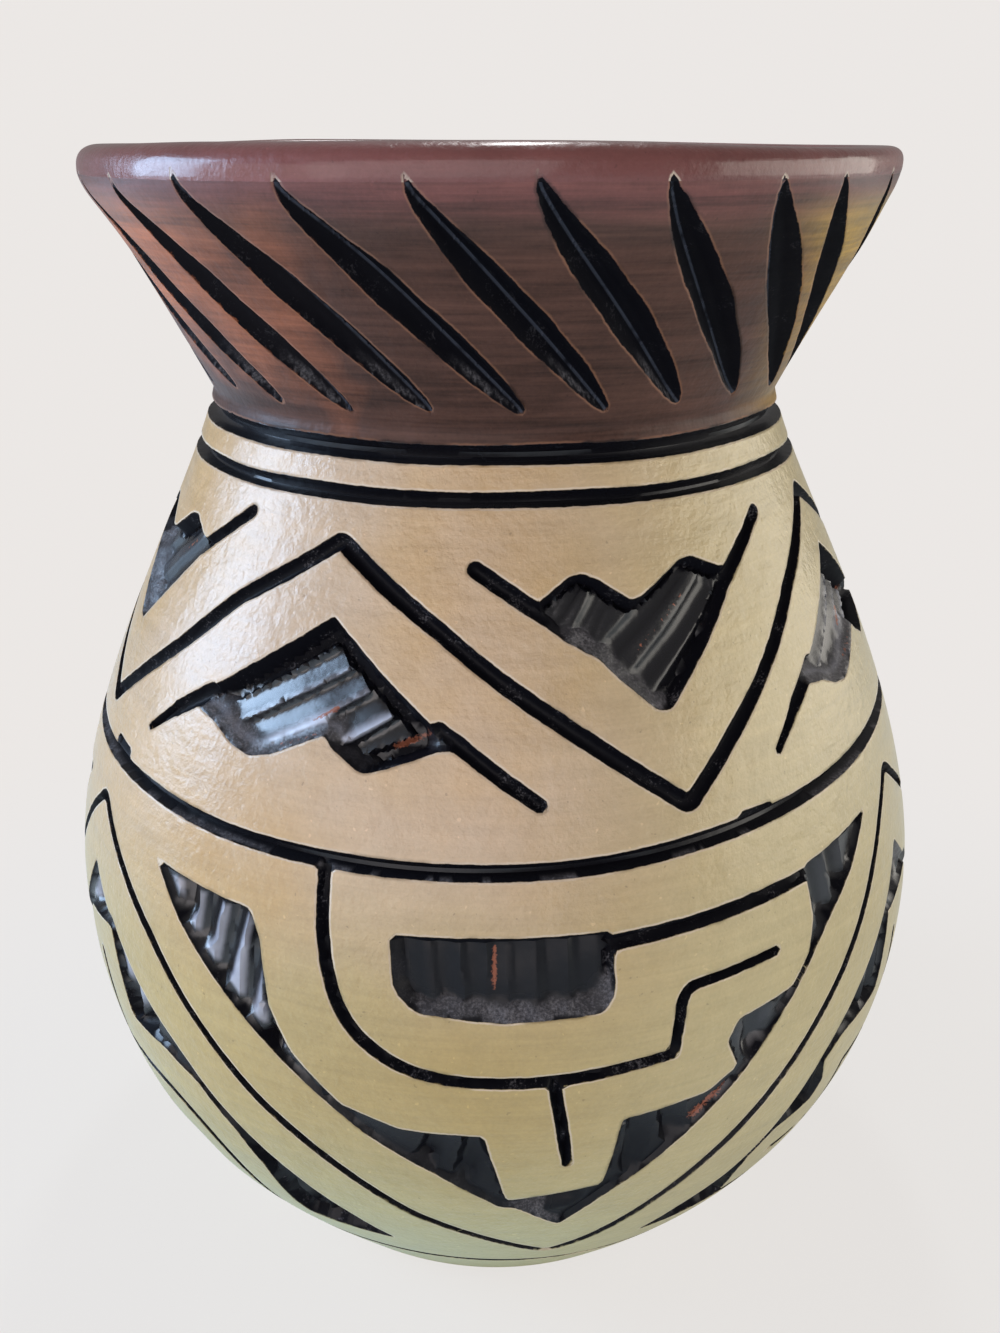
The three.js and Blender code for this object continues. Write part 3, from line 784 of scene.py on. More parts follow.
@dataclass(frozen=True)
class UpperFrieze(Frieze):
    """The zigzag between the belly groove and the neck, with a stepped panel in each angle."""

    start: float = -23.5
    count: int = 4
    rounds: int = 2
    drift: Points = ((0, 0), (0.9, 0.3), (0, 0), (-1.3, 2.0))
    zigzag: Line = Line(
        ((-0.6, 87.6), (16, 65.5), (31.5, 41), (47.2, 11.6), (55.6, 28.5), (64.5, 45), (74, 63)),
        width=2.7)
    panels: tuple[Panel, ...] = (
        Panel(
            outline=(
                (-22.9, 30), (0.3, 66.8), (4.8, 59.5), (17, 38), (19.8, 34.4), (16.5, 33.6),
                (8.6, 26.1), (7, 25.7), (3.2, 30.8), (1.8, 34.3), (-5.5, 25.7), (-8.6, 23.5),
                (-12, 25.4), (-15.4, 29.4), (-19.6, 31.5)),
            sides="mmmllmsllrrrrrl",
            flutes=((-16, 33.4, 4, 61.4), (-12.2, 30, 7, 56), (3.3, 41, 10.4, 51.2),
                    (5.6, 32.6, 14.2, 45.4)),
            worn=((-0.8, 37.4, 2.4, 42.3, 0.5), (15.2, 38.6, 10.5, 33.6, 0.85),
                  (-5, 28.5, 0.5, 34, 0.3)),
            floor=2.8, gouge=12.0, back=0.45, tilt=0.2, ridge=1.6, moat=3.5, moat_width=2.8,
            corner=0.35),
        Panel(
            outline=(
                (29.3, 68.8), (29.8, 73.2), (34.4, 79.3), (36.4, 79.9), (38.7, 78), (43.4, 71.4),
                (45.2, 72), (52.2, 80.1), (54.7, 80.5), (59.6, 75.6), (62.4, 75.4), (60.4, 69.5),
                (53.4, 54), (49, 44.5), (46.6, 39.4), (44.8, 40), (40.1, 50.4), (37.4, 57.1),
                (33.2, 62.2)),
            sides="smmmmsmmmssssslrrrl",
            flutes=((35.4, 78, 31.6, 69), (39.6, 74.5, 36, 64), (52.6, 77.5, 39.6, 59),
                    (57, 71.5, 44, 50.6), (60, 67.5, 46.8, 43.6)),
            worn=((53.4, 71.9, 43.6, 57.4, 0.22),),
            floor=2.5, gouge=2.3, back=2.3, moat=3.1, moat_width=1.25, corner=0.35, matt=0.3))
    lines: tuple[Line, ...] = (
        Line(((-28.6, 17.4), (-23.4, 28.0), (-17.5, 37.2)), width=2.7, thin_start=0.5),
        Line(((16.5, 39.2), (19.3, 35.2), (28.7, 18.8)), width=2.6, thin_end=0.9),
        Line(((20.7, 82.0), (30.8, 69.0)), width=2.5),
        Line(((60.4, 72.2), (62.6, 75.8), (71.2, 88.4)), width=2.3),
        Line(((54.6, 2.6), (58.6, 2.2)), width=1.9, depth=1.0))

    def place(self, index: int, point: Point) -> Point:
        """Where a point of a peak lies: its angle from the apex on, its height as a percentage.

        Args:
            index: The peak, from 0 at the front.
            point: The point, in the peak's own units.

        Returns:
            Its angle and its height.
        """
        aside, up = self.drift[index]
        angle = self.start + 360.0 / self.count * index + aside + point[0]
        belly = float(RINGS.belly_at(angle))
        return angle, belly + (RINGS.neck - belly) * (point[1] + up) / 100.0


@dataclass(frozen=True)
class CollarSlashes:
    """The leaning leaf-shaped slashes of the collar, the first six with their own size and lean."""

    count: int = 25
    middle: float = 4.2
    lean: float = 28.5
    bend: float = 1.25
    aside: float = 1.0
    top: float = 195.9
    foot: float = 162.9
    width: float = 5.2
    depth: float = 3.0
    seed: int = 7
    own: Points = ((1.0, 1.0), (1.08, 0.98), (1.12, 0.96), (1.3, 1.0), (1.2, 1.0), (1.0, 1.0))
    off_beat: tuple[float, ...] = (
        0.4, -0.1, 0.0, 1.3, -1.4, 0.5, -0.4, 0.2, 0.7, -0.6, 0.1, 0.9, -0.5, -0.2, 0.6, -0.9, 0.3,
        0.0, 0.5, -0.4, 0.2, -0.7, 0.2, -0.1, 0.4)

    def cut(self, carving: Carving) -> None:
        """Cuts the slashes: each angle goes with the share down to the power of the bend.

        The fold bows to the left of that line with the sine of pi times the share, to the power
        0.6.

        Args:
            carving: The wall that is cut.
        """
        share = np.linspace(0.0, 1.0, 15)
        height = self.top + (self.foot - self.top) * share
        bow = np.sin(np.pi * share) ** 0.6
        pick = np.random.default_rng(self.seed)
        for index in range(self.count):
            known = index < len(self.own)
            lean = self.own[index][1] if known else pick.uniform(0.97, 1.06)
            rise = pick.uniform(-0.3, 0.9)
            size = self.own[index][0] if known else pick.uniform(0.92, 1.06)
            centre = self.middle + 360.0 / self.count * index + self.off_beat[index]
            angle = centre + self.lean * lean * (share**self.bend - 0.5) - self.aside * size * bow
            path = WallPath(angle, OUTLINE.arc_at(height + rise))
            carving.leaf(path, self.width * size, self.depth)


def carved(angle: Array, arc: Array) -> Carving:
    """Every cut on the outside of the pot that comes near the given places.

    Args:
        angle: Degrees round the pot.
        arc: Lengths up the outline.

    Returns:
        The carving at those places.
    """
    carving = Carving(angle.ravel(), arc.ravel())
    low, high = arc.min() - RING_REACH, arc.max() + RING_REACH
    for band, bottom, top in (
        (LowerFrieze(), RINGS.base, RINGS.belly + 4),
        (UpperFrieze(), RINGS.belly - 2, RINGS.neck),
        (CollarSlashes(), RINGS.collar + 4, RINGS.lip),
    ):
        if low < OUTLINE.arc_at(top) and high > OUTLINE.arc_at(bottom):
            band.cut(carving)
    carving.ring(level(RINGS.base), 1.0, 1.0, 1.2, matt=0.8)
    carving.ring(RINGS.belly_at, 1.45, 1.2, 1.8, matt=0.6, rough=1.0)
    carving.ring(level(RINGS.collar), 1.5, 1.5, 2.0, matt=0.55)
    carving.ring(level(RINGS.neck + 0.25), 1.2, 1.25, 1.9, matt=0.5, rough=0.2)
    return carving


@dataclass(frozen=True)
class Lap:
    """A lapped joint at a seam: the tongue's rise and width, and the clearance for the slip.

    Each end is a list of rows, from the ring's outside to its inside or back, as radius and height.
    """

    seam: HeightAt
    rise: float = 3.0
    width: float = 2.4
    clearance: float = 0.3

    def upper_end(self, angle: Array) -> list[tuple[Array, Array]]:
        """Seat and tongue on top of a ring.

        Args:
            angle: Degrees round the pot.

        Returns:
            The rows from the outside in.
        """
        seam = self.seam(angle)
        side, top = OUTLINE.inside_at(seam) + self.width, seam + self.rise
        return [(side, seam), (side, top), (OUTLINE.inside_at(top), top)]

    def lower_end(self, angle: Array) -> list[tuple[Array, Array]]:
        """Rebate and seat under a ring.

        Args:
            angle: Degrees round the pot.

        Returns:
            The rows from the inside out.
        """
        seam = self.seam(angle)
        side = OUTLINE.inside_at(seam) + self.width + self.clearance
        roof = seam + self.rise + self.clearance
        return [(OUTLINE.inside_at(roof), roof), (side, roof), (side, seam)]


class ClayMesh:
    """A closed surface round the axis: rows of vertices, with values for the finishes."""

    def __init__(self, name: str, columns: int) -> None:
        """Starts without rows.

        Args:
            name: The piece's name.
            columns: How many vertices each row has.
        """
        self.name = name
        self.turn = even_turn(columns)
        self.rows: dict[str, list[Array]] = {}
        self.inner: list[bool] = []

    def add_row(self, radius: Array, height: Array, inner: bool = True, **marks: Array) -> None:
        """Adds a row of vertices round the pot.

        Args:
            radius: Distance from the axis, in millimetres.
            height: Height, in millimetres.
            inner: Whether the faces up to this row are bare clay.
            marks: Values for the finish, and angles where the columns aren't even.
        """
        given = {"angle": self.turn, "radius": radius, "height": height, **BLANK_MARKS, **marks}
        for key, value in given.items():
            row = np.broadcast_to(value, self.turn.shape).astype(float)
            self.rows.setdefault(key, []).append(row)
        self.inner.append(inner)

    def add_bare(self, rows: list[tuple[Array, Array]]) -> None:
        """Adds rows of bare clay."""
        for radius, height in rows:
            self.add_row(radius, height)

    def make(self, closed: bool, sharp: float = 36.0) -> bpy.types.Object:
        """Puts the rows into a mesh: x is radius times sine, y is less radius times cosine.

        Each cell is split along the diagonal whose ends lie at depths more alike. Where the rows
        aren't closed, the first and the last run to a point on the axis.

        Args:
            closed: Whether the last row joins the first one.
            sharp: Edges that fold by more than this angle, in degrees, stay sharp.

        Returns:
            The object, linked to the scene.
        """
        marks = {key: np.array(rows).ravel() for key, rows in self.rows.items()}
        radius, height, turn = marks.pop("radius"), marks.pop("height"), marks.pop("angle")
        turn = np.radians(turn)
        vertices = np.stack([radius * np.sin(turn), -radius * np.cos(turn), height], axis=-1) * MM
        count, columns = len(self.inner), self.turn.size
        index = np.arange(count * columns).reshape(count, columns)
        joined = slice(count if closed else count - 1)
        a, d = index[joined], np.roll(index, -1, axis=0)[joined]
        b, c = np.roll(a, -1, axis=1), np.roll(d, -1, axis=1)
        depth = marks["depth"]
        rising, falling = np.abs(depth[a] - depth[c]), np.abs(depth[b] - depth[d])
        split = (rising <= falling)[..., None]
        first = np.where(split, np.stack([a, b, c], -1), np.stack([a, b, d], -1))
        second = np.where(split, np.stack([a, c, d], -1), np.stack([b, c, d], -1))
        faces = np.stack([first, second], axis=2).reshape(-1, 3)
        bare = np.array(self.inner)
        kinds = np.repeat((np.roll(bare, -1) & bare)[joined], columns * 2)
        if not closed:
            foot, crown = index.size, index.size + 1
            vertices = np.vstack([vertices, [[0, 0, height[0] * MM], [0, 0, height[-1] * MM]]])
            start, last = index[0], index[-1]
            fan = np.stack([np.roll(start, -1), start, np.full(columns, foot)], -1)
            cap = np.stack([last, np.roll(last, -1), np.full(columns, crown)], -1)
            faces = np.vstack([faces, fan, cap])
            kinds = np.concatenate([kinds, np.ones(2 * columns, dtype=bool)])
            marks = {key: np.append(rows, [BLANK_MARKS[key]] * 2) for key, rows in marks.items()}
        mesh = bpy.data.meshes.new(self.name)
        mesh.vertices.add(len(vertices))
        mesh.vertices.foreach_set("co", vertices.astype(np.float32).ravel())
        mesh.loops.add(faces.size)
        mesh.loops.foreach_set("vertex_index", faces.astype(np.int32).ravel())
        mesh.polygons.add(len(faces))
        mesh.polygons.foreach_set("loop_start", np.arange(0, faces.size, 3, dtype=np.int32))
        mesh.polygons.foreach_set("material_index", kinds.astype(np.int32))
        mesh.update(calc_edges=True)
        for key, values in marks.items():
            layer = mesh.attributes.new(key, "FLOAT", "POINT")
            layer.data.foreach_set("value", values.astype(np.float32))
        mesh.validate()
        mesh.shade_smooth()
        mesh.set_sharp_from_angle(angle=math.radians(sharp))
        return linked(bpy.data.objects.new(self.name, mesh))


def linked(made: bpy.types.Object) -> bpy.types.Object:
    """An object, once it is linked to the scene."""
    bpy.context.scene.collection.objects.link(made)
    return made


def hand_built(angle: Array, arc: Array) -> Array:
    """How far the coiled wall swells or sinks: slow waves, and a mouth that leans to the left.

    Near the lip the wall sinks with the sine of the angle.

    Args:
        angle: Degrees round the pot.
        arc: Lengths up the outline.

    Returns:
        The swelling, in millimetres.
    """
    near_lip = eased(OUTLINE.height_at(arc), 183.0, 196.0)
    lean = -0.95 * np.sin(np.radians(angle)) * near_lip
    return HAND.wall.at(angle, arc) + lean


@dataclass(frozen=True)
class CarvedWall:
    """The outside of a ring as a grid that is drawn to the edges of the carving."""

    low: HeightAt
    high: HeightAt
    rows: int
    edge: float = 0.04
    lip: float = -0.3
    grain: float = 0.12
    longest: float = 0.55
    flattest: float = 0.05

    def _drawn(self, angle: Array, arc: Array, value: Array, held: Array,
               cell: tuple[Array, Array]) -> Array:
        """Moves the vertices next to where a value passes through 0 onto it, along its slope.

        Of the two ends of each grid line that the contour crosses, the one with the lesser value
        moves, by less the value times the slope over the slope squared, and at most by the longest
        part of a cell.

        Args:
            angle: Angles, changed in place.
            arc: Arcs, changed in place.
            value: The value at each vertex.
            held: Vertices that stay where they are.
            cell: Width and height of a cell, in millimetres.

        Returns:
            Which vertices were moved.
        """
        wide, tall = cell
        slope_x = (np.roll(value, -1, 1) - np.roll(value, 1, 1)) / (2 * wide)
        slope_y = np.gradient(value, axis=0) / tall
        steep = np.maximum(slope_x**2 + slope_y**2, self.flattest)
        beside = np.roll(value, -1, 1)
        across, nearer = value * beside < 0.0, np.abs(value) <= np.abs(beside)
        picked = (across & nearer) | np.roll(across & ~nearer, 1, 1)
        along, lower = value[:-1] * value[1:] < 0.0, np.abs(value[:-1]) <= np.abs(value[1:])
        picked[:-1] |= along & lower
        picked[1:] |= along & ~lower
        picked &= ~held
        picked[0] = picked[-1] = False
        far_x, far_y = self.longest * wide, self.longest * tall
        step_x = np.clip(-value * slope_x / steep, -far_x, far_x)
        step_y = np.clip(-value * slope_y / steep, -far_y, far_y)
        angle[picked] += np.degrees(step_x / OUTLINE.radius_along(arc))[picked]
        arc[picked] += step_y[picked]
        return picked

    def add_to(self, mesh: ClayMesh) -> None:
        """Adds the wall's rows to a mesh, in even shares from the low seam to the high one.

        A vertex lies below the smooth wall by its depth, along the way that the wall faces.

        Args:
            mesh: The mesh that gets the rows.
        """
        share = np.linspace(0.0, 1.0, self.rows + 1)[:, None]
        bottom, top = (OUTLINE.arc_at(seam(mesh.turn)) for seam in (self.low, self.high))
        arc = bottom + (top - bottom) * share
        angle = np.broadcast_to(mesh.turn, arc.shape).copy()
        wide = OUTLINE.radius_along(arc) * math.radians(360.0 / mesh.turn.size)
        cell = (wide, np.gradient(arc, axis=0))
        rim = carved(angle, arc).rim.reshape(arc.shape)
        held = self._drawn(angle, arc, rim, np.zeros(arc.shape, dtype=bool), cell)
        cuts = carved(angle, arc)
        held |= cuts.rim.reshape(arc.shape) > self.lip
        self._drawn(angle, arc, cuts.crease.reshape(arc.shape), held, cell)
        cuts = carved(angle, arc)
        marks = {key: getattr(cuts, key).reshape(arc.shape) for key in BLANK_MARKS}
        depth = marks["depth"] = np.where(marks["rim"] > -self.edge, 0.0, marks["depth"])
        grain = HAND.grain.at(angle, arc) * marks["rough"] * self.grain
        sunk = depth + np.where(depth > 0.2, grain, 0.0) - hand_built(angle, arc)
        out, up = OUTLINE.facing_at(arc)
        height = OUTLINE.height_at(arc) - sunk * up
        radius = OUTLINE.radius_along(arc) - sunk * out
        for row in range(arc.shape[0]):
            own = {key: value[row] for key, value in marks.items()}
            mesh.add_row(radius[row], height[row], False, angle=angle[row], **own)


@dataclass(frozen=True)
class ClayRing:
    """A ring of the pot between two lapped joints, carved outside and thrown smooth inside."""

    name: str
    low: Lap
    high: Lap
    columns: int
    rows: int
    inner_row: float = 8.0

    def build(self) -> bpy.types.Object:
        """The ring's object: the wall, its upper end, the inside wall and its lower end."""
        mesh = ClayMesh(self.name, self.columns)
        CarvedWall(self.low.seam, self.high.seam, self.rows).add_to(mesh)
        mesh.add_bare(self.high.upper_end(mesh.turn))
        top = self.high.seam(mesh.turn) + self.high.rise
        roof = self.low.seam(mesh.turn) + self.low.rise + self.low.clearance
        steps = max(2, round(float((top - roof).mean()) / self.inner_row))
        for share in np.linspace(0.0, 1.0, steps + 1)[1:-1]:
            height = top + (roof - top) * share
            mesh.add_row(OUTLINE.inside_at(height), height)
        mesh.add_bare(self.low.lower_end(mesh.turn))
        return mesh.make(closed=True)


@dataclass(frozen=True)
class BaseDish:
    """The flat floor of the pot with its edge drawn up to the base ring."""

    name: str = "base_dish_turned"
    columns: int = 480
    rows: int = 20
    foot_round: float = 1.6
    floor_round: float = 3.0

    def build(self) -> bpy.types.Object:
        """The dish: its underside, the rounded foot, the wall, the seat and the floor."""
        mesh = ClayMesh(self.name, self.columns)
        edge = OUTLINE.base_radius
        mesh.add_bare([(edge * share, 0.0) for share in (0.06, 0.3, 0.55, 0.8, 0.93)])
        for degrees in (0.0, 15.0, 30.0, 45.0, 60.0):
            lean = math.radians(degrees)
            out = edge - self.foot_round * 0.75 + self.foot_round * math.sin(lean)
            mesh.add_row(out, self.foot_round * (1 - math.cos(lean)), degrees < 30.0)
        lap = Lap(level(RINGS.base))
        CarvedWall(level(self.foot_round), lap.seam, self.rows).add_to(mesh)
        mesh.add_bare(lap.upper_end(mesh.turn))
        edge = float(OUTLINE.inside_at(OUTLINE.floor + self.floor_round))
        for degrees in (0.0, 30.0, 60.0, 90.0):
            lean = math.radians(degrees)
            mesh.add_row(edge - self.floor_round * (1 - math.cos(lean)),
                         OUTLINE.floor + self.floor_round * (1 - math.sin(lean)))
        mesh.add_bare([(edge * share, OUTLINE.floor) for share in (0.8, 0.55, 0.3, 0.06)])
        return mesh.make(closed=False)


@dataclass(frozen=True)
class LipCoil:
    """The coil that ends the collar: a rounded bevel outside and a small round inside."""

    lap: Lap
    name: str = "lip_coil_smoothed"
    columns: int = 720
    steps: int = 18
    widest: float = 196.5
    fullness: float = 0.8
    droop: float = 0.9
    back_droop: float = 0.5

    def build(self) -> bpy.types.Object:
        """The lip: a rounded corner outside, a small round inside, then the rebate.

        Outside, a superellipse goes from just under its widest point to the top: the reach times
        the cosine to the power of the fullness outwards, and the rise times the sine to the same
        power upwards. The tips of the slashes run a little way onto it.
        """
        mesh = ClayMesh(self.name, self.columns)
        seam = float(OUTLINE.arc_at(RINGS.lip))
        arc = np.full(mesh.turn.shape, seam)
        swell = hand_built(mesh.turn, arc)
        face_out, face_up = OUTLINE.facing_at(seam)
        right = np.sin(np.radians(mesh.turn))
        droop = self.droop * eased(right, 0.1, 0.95) + self.back_droop * eased(-right, 0.6, 0.95)
        lift = HAND.lip.at(mesh.turn, arc) - droop
        middle = OUTLINE.lip_radius - OUTLINE.lip_bevel
        crown = RINGS.lip + OUTLINE.lip_rise
        rise = crown - self.widest
        low = -math.asin(((self.widest - RINGS.lip) / rise) ** (1.0 / self.fullness))
        reach = (float(OUTLINE.radius_at(RINGS.lip)) - middle) / math.cos(low) ** self.fullness
        run = 0.0
        before = (middle + reach * math.cos(low) ** self.fullness, RINGS.lip)
        for share in np.linspace(0.0, 1.0, self.steps + 1):
            lean = low + share * (math.pi / 2 - low)
            out = middle + reach * max(math.cos(lean), 0.0) ** self.fullness
            up = self.widest + rise * math.copysign(abs(math.sin(lean)) ** self.fullness, lean)
            run += math.hypot(out - before[0], up - before[1])
            before = (out, up)
            out_part = face_out + (1.0 - face_out - 0.7) * share
            up_part = swell * face_up * (1 - share) + lift * share
            mesh.add_row(out + swell * out_part, up + up_part, False, matt=1.0,
                         rim=carved(mesh.turn, arc + run).rim + 0.6 * share)
        inner = OUTLINE.wall - OUTLINE.lip_bevel
        for share in np.linspace(0.0, 1.0, 9)[1:]:
            lean = share * math.pi / 2
            out = middle - inner * math.sin(lean) + 0.3 * swell * (1 - share)
            drop = OUTLINE.lip_round * (1 - math.cos(lean))
            mesh.add_row(out, crown + lift * (1 - share) - drop, False)
        mesh.add_bare(self.lap.lower_end(mesh.turn))
        return mesh.make(closed=True)


def by_math(operation: str, reflected: bool = False) -> Callable[["Sock", "Wire"], "Sock"]:
    """A method that works a socket and another value into one by a Math node.

    Args:
        operation: The node's operation.
        reflected: Whether the other value comes first.

    Returns:
        The method.
    """

    def worked(own: "Sock", other: "Wire") -> "Sock":
        """The two values worked into one."""
        first, second = (other, own) if reflected else (own, other)
        return own.graph.node("Math", {0: first, 1: second}, operation=operation)

    return worked


class Sock:
    """A socket of a node graph that can be used in sums and products.

    at_most gives the lesser of two values, at_least the greater.
    """

    __add__ = __radd__ = by_math("ADD")
    __mul__ = __rmul__ = by_math("MULTIPLY")
    __sub__ = by_math("SUBTRACT")
    __rsub__ = by_math("SUBTRACT", reflected=True)
    at_most = by_math("MINIMUM")
    at_least = by_math("MAXIMUM")

    def __init__(self, graph: "Graph", socket: bpy.types.NodeSocket) -> None:
        """Holds a socket and the graph that it belongs to."""
        self.graph, self.socket = graph, socket

    def rise(self, low: float, high: float) -> "Sock":
        """A smooth step from 0 at low to 1 at high."""
        ends = {0: self, 1: low, 2: high, 3: 0.0, 4: 1.0}
        return self.graph.node("MapRange", ends, interpolation_type="SMOOTHSTEP")


Wire = Sock | float | Colour
Range = tuple[float, float]


class Graph:
    """The node graph of one material or of the world."""

    def __init__(self, owner: bpy.types.Material | bpy.types.World) -> None:
        """Empties the owner's nodes."""
        owner.use_nodes = True
        self.tree = owner.node_tree
        self.tree.nodes.clear()

    def node(self, kind: str, inputs: dict[int | str, Wire], output: int | str = 0,
             **settings: object) -> Sock:
        """Adds a node and gives one of its outputs.

        Args:
            kind: The node's type.
            inputs: A value or a link for each socket, by index or name.
            output: The output, by index or name.
            settings: Values set on the node itself, before its sockets.

        Returns:
            The output socket.
        """
        made = self.tree.nodes.new("ShaderNode" + kind)
        for key, value in settings.items():
            setattr(made, key, value)
        for key, value in inputs.items():
            socket = made.inputs[key]
            if isinstance(value, Sock):
                self.tree.links.new(value.socket, socket)
            elif isinstance(value, tuple) and socket.type == "RGBA":
                socket.default_value = (*value, 1.0)
            else:
                socket.default_value = value
        return Sock(self, made.outputs[output])

    def finish(self, shader: Sock, kind: str = "ShaderNodeOutputMaterial") -> None:
        """Links a shader to the graph's output."""
        self.tree.links.new(shader.socket, self.tree.nodes.new(kind).inputs["Surface"])

    def vector(self, operation: str, first: Wire, second: Wire) -> Sock:
        """Two vectors worked into one by a Vector Math node."""
        return self.node("VectorMath", {0: first, 1: second}, operation=operation)

    def place(self) -> Sock:
        """The object's own coordinates, in metres."""
        return self.node("TexCoord", {}, "Object")

    def height(self, place: Sock) -> Sock:
        """How high a place lies, in millimetres."""
        return self.node("SeparateXYZ", {0: place}, 2) * 1000.0

    def side(self, place: Sock) -> Sock:
        """How far to the right a place lies, in millimetres."""
        return self.node("SeparateXYZ", {0: place}, 0) * 1000.0

    def seen(self) -> Sock:
        """1 on the camera's own rays, 0 on all others."""
        return self.node("LightPath", {}, "Is Camera Ray")

    def mark(self, name: str) -> Sock:
        """A value that the mesh holds for each vertex."""
        return self.node("Attribute", {}, "Fac", attribute_name=name, attribute_type="GEOMETRY")

    def noise(self, place: Sock, scale: float, detail: float = 2.0, roughness: float = 0.5,
              shift: Vector | None = None) -> Sock:
        """A noise value from 0 to 1.

        Args:
            place: The coordinates.
            scale: Cells to a metre.
            detail: How many finer noises are added.
            roughness: How strong they are.
            shift: A vector added to the coordinates, so that two noises differ.

        Returns:
            The value.
        """
        moved = place if shift is None else self.vector("ADD", place, shift)
        sockets = {"Vector": moved, "Scale": scale, "Detail": detail, "Roughness": roughness}
        return self.node("TexNoise", sockets)

    def streaks(self, place: Sock, along: float, up: float, detail: float = 2.0,
                roughness: float = 0.5) -> Sock:
        """Noise drawn out round the pot, with its own scale along the streaks and across them."""
        drawn = self.vector("MULTIPLY", place, (along, along, up))
        return self.noise(drawn, 1.0, detail, roughness)

    def blend(self, factor: Wire, first: Wire, second: Wire) -> Sock:
        """A colour between two colours."""
        return self.node("Mix", {0: factor, 6: first, 7: second}, 2, data_type="RGBA")

    def tinted(self, colour: Wire, strength: Sock) -> Sock:
        """A colour with its brightness multiplied by a value."""
        return self.node("VectorMath", {0: colour, 3: strength}, operation="SCALE")

    def bump(self, height: Sock) -> Sock:
        """The normal of a relief, given in millimetres."""
        return self.node("Bump", {"Strength": 1.0, "Distance": MM, "Height": height})

    def surface(self, colour: Sock, roughness: Wire, bump: Sock, shine: float = 0.5,
                coat: Wire = 0.0, coat_roughness: float = 0.03) -> Sock:
        """A surface's shader.

        Args:
            colour: The ground's colour.
            roughness: The ground's roughness.
            bump: The surface's normal.
            shine: How much the ground reflects.
            coat: Weight of the lacquer over it.
            coat_roughness: Roughness of the lacquer.

        Returns:
            The shader.
        """
        sockets = {"Base Color": colour, "Roughness": roughness, "Specular IOR Level": shine,
                   "Coat Weight": coat, "Coat Roughness": coat_roughness, "Normal": bump}
        return self.node("BsdfPrincipled", sockets)

    def mixed(self, factor: Sock, first: Sock, second: Sock) -> Sock:
        """A shader between two shaders."""
        return self.node("MixShader", {0: factor, 1: first, 2: second})


@dataclass(frozen=True)
class BlackStain:
    """The black stain rubbed into the cuts: glossy in some, matt in others, dusty where crumbly."""

    ink: Colour = (0.0035, 0.0035, 0.006)
    # Colour of the painted highlight drawn along the middle fold of each slash.
    fold_highlight: Colour = (0.045, 0.052, 0.07)
    dust: Colour = (0.26, 0.25, 0.27)
    clay: Colour = (0.26, 0.085, 0.048)
    # Pale bluish colour of the ridges: partly rubbed stain, partly a painted reflection of the
    # light from the left.
    rub_and_sheen: Colour = (0.42, 0.43, 0.50)
    stray: float = 0.4
    glossy: float = 0.27
    dull: float = 0.6
    matt_height: Range = (70.0, 50.0)
    film_and_sheen_depth: Range = (1.2, 2.2)
    film_and_sheen_inset: Range = (-2.1, -1.0)
    sheen_side: Range = (5.0, 30.0)
    fold_highlight_width: Range = (0.1, 0.32)

    def shader(self, graph: Graph, place: Sock) -> Sock:
        """The stain's shader, with dust, ridges made paler by rubbed stain and a painted
        reflection, a painted highlight along the folds, worn clay and gouge marks.

        Stray dust lies in the most matt cuts alone. The pale layer on the ridges of the flutes is
        partly stain rubbed thin and partly a painted reflection of the light from the left: it
        fades with depth, near the rim, on matt and crumbly places and to the pot's right.

        Args:
            graph: The material's graph.
            place: The object's coordinates.

        Returns:
            The shader.
        """
        rough, bare, fold = graph.mark("rough"), graph.mark("bare"), graph.mark("fold")
        matt = graph.mark("matt").at_least(graph.height(place).rise(*self.matt_height) * 0.8)
        grit = graph.noise(place, 2300.0, 2.0, 0.7)
        patches = graph.noise(place, 210.0, 3.0, 0.6, shift=(7.0, 1.0, 4.0))
        uneven = patches - 0.5
        specks = (grit + uneven * 0.7).rise(0.36, 0.86)
        stray = (grit + uneven * 1.1).rise(0.62, 0.95) * self.stray * matt.rise(0.8, 0.9)
        dusty = (rough.rise(0.25, 1.0) * (0.12 + specks * 0.5)).at_least(stray)
        # Pale layer on the ridges: partly stain rubbed thin, partly a painted reflection of the
        # light from the left, kept to glossy places and faded towards the pot's right.
        ridges = 1.0 - (graph.mark("depth") + uneven * 0.8).rise(*self.film_and_sheen_depth)
        right = graph.side(place).rise(*self.sheen_side)
        sheen_share = (1.0 - matt * (3.0 + right * 9.0)).at_least(0.0)
        inner = 1.0 - graph.mark("rim").rise(*self.film_and_sheen_inset)
        firm = 1.0 - rough.rise(0.1, 0.5) * 0.75
        colour = graph.blend(dusty, self.ink, self.dust)
        film_and_sheen = ridges * sheen_share * inner * firm * (0.6 + patches * 0.8)
        colour = graph.blend(film_and_sheen, colour, self.rub_and_sheen)
        # Painted highlight: a thin pale bluish line along the middle fold of each slash, standing
        # in for light caught by the fold.
        beside = fold.at_least(fold * -1.0).rise(*self.fold_highlight_width)
        colour = graph.blend((1.0 - beside) * patches.rise(0.3, 0.5), colour, self.fold_highlight)
        worn = (bare + (grit - 0.5) * 1.4 + uneven * 1.6).rise(0.6, 1.0)
        colour = graph.blend(worn * bare.rise(0.02, 0.2), colour, self.clay)
        chatter = graph.noise(place, 330.0, 2.0, 0.55, shift=(5.0, 4.0, 1.0))
        bump = graph.bump(chatter * 0.075 + grit * (0.005 + rough * 0.09))
        glossy = graph.surface(colour, self.glossy + rough * 0.15, bump, shine=0.85)
        dull = graph.surface(colour, self.dull, bump, shine=0.08)
        return graph.mixed((matt + dusty * 0.5).at_most(1.0), glossy, dull)


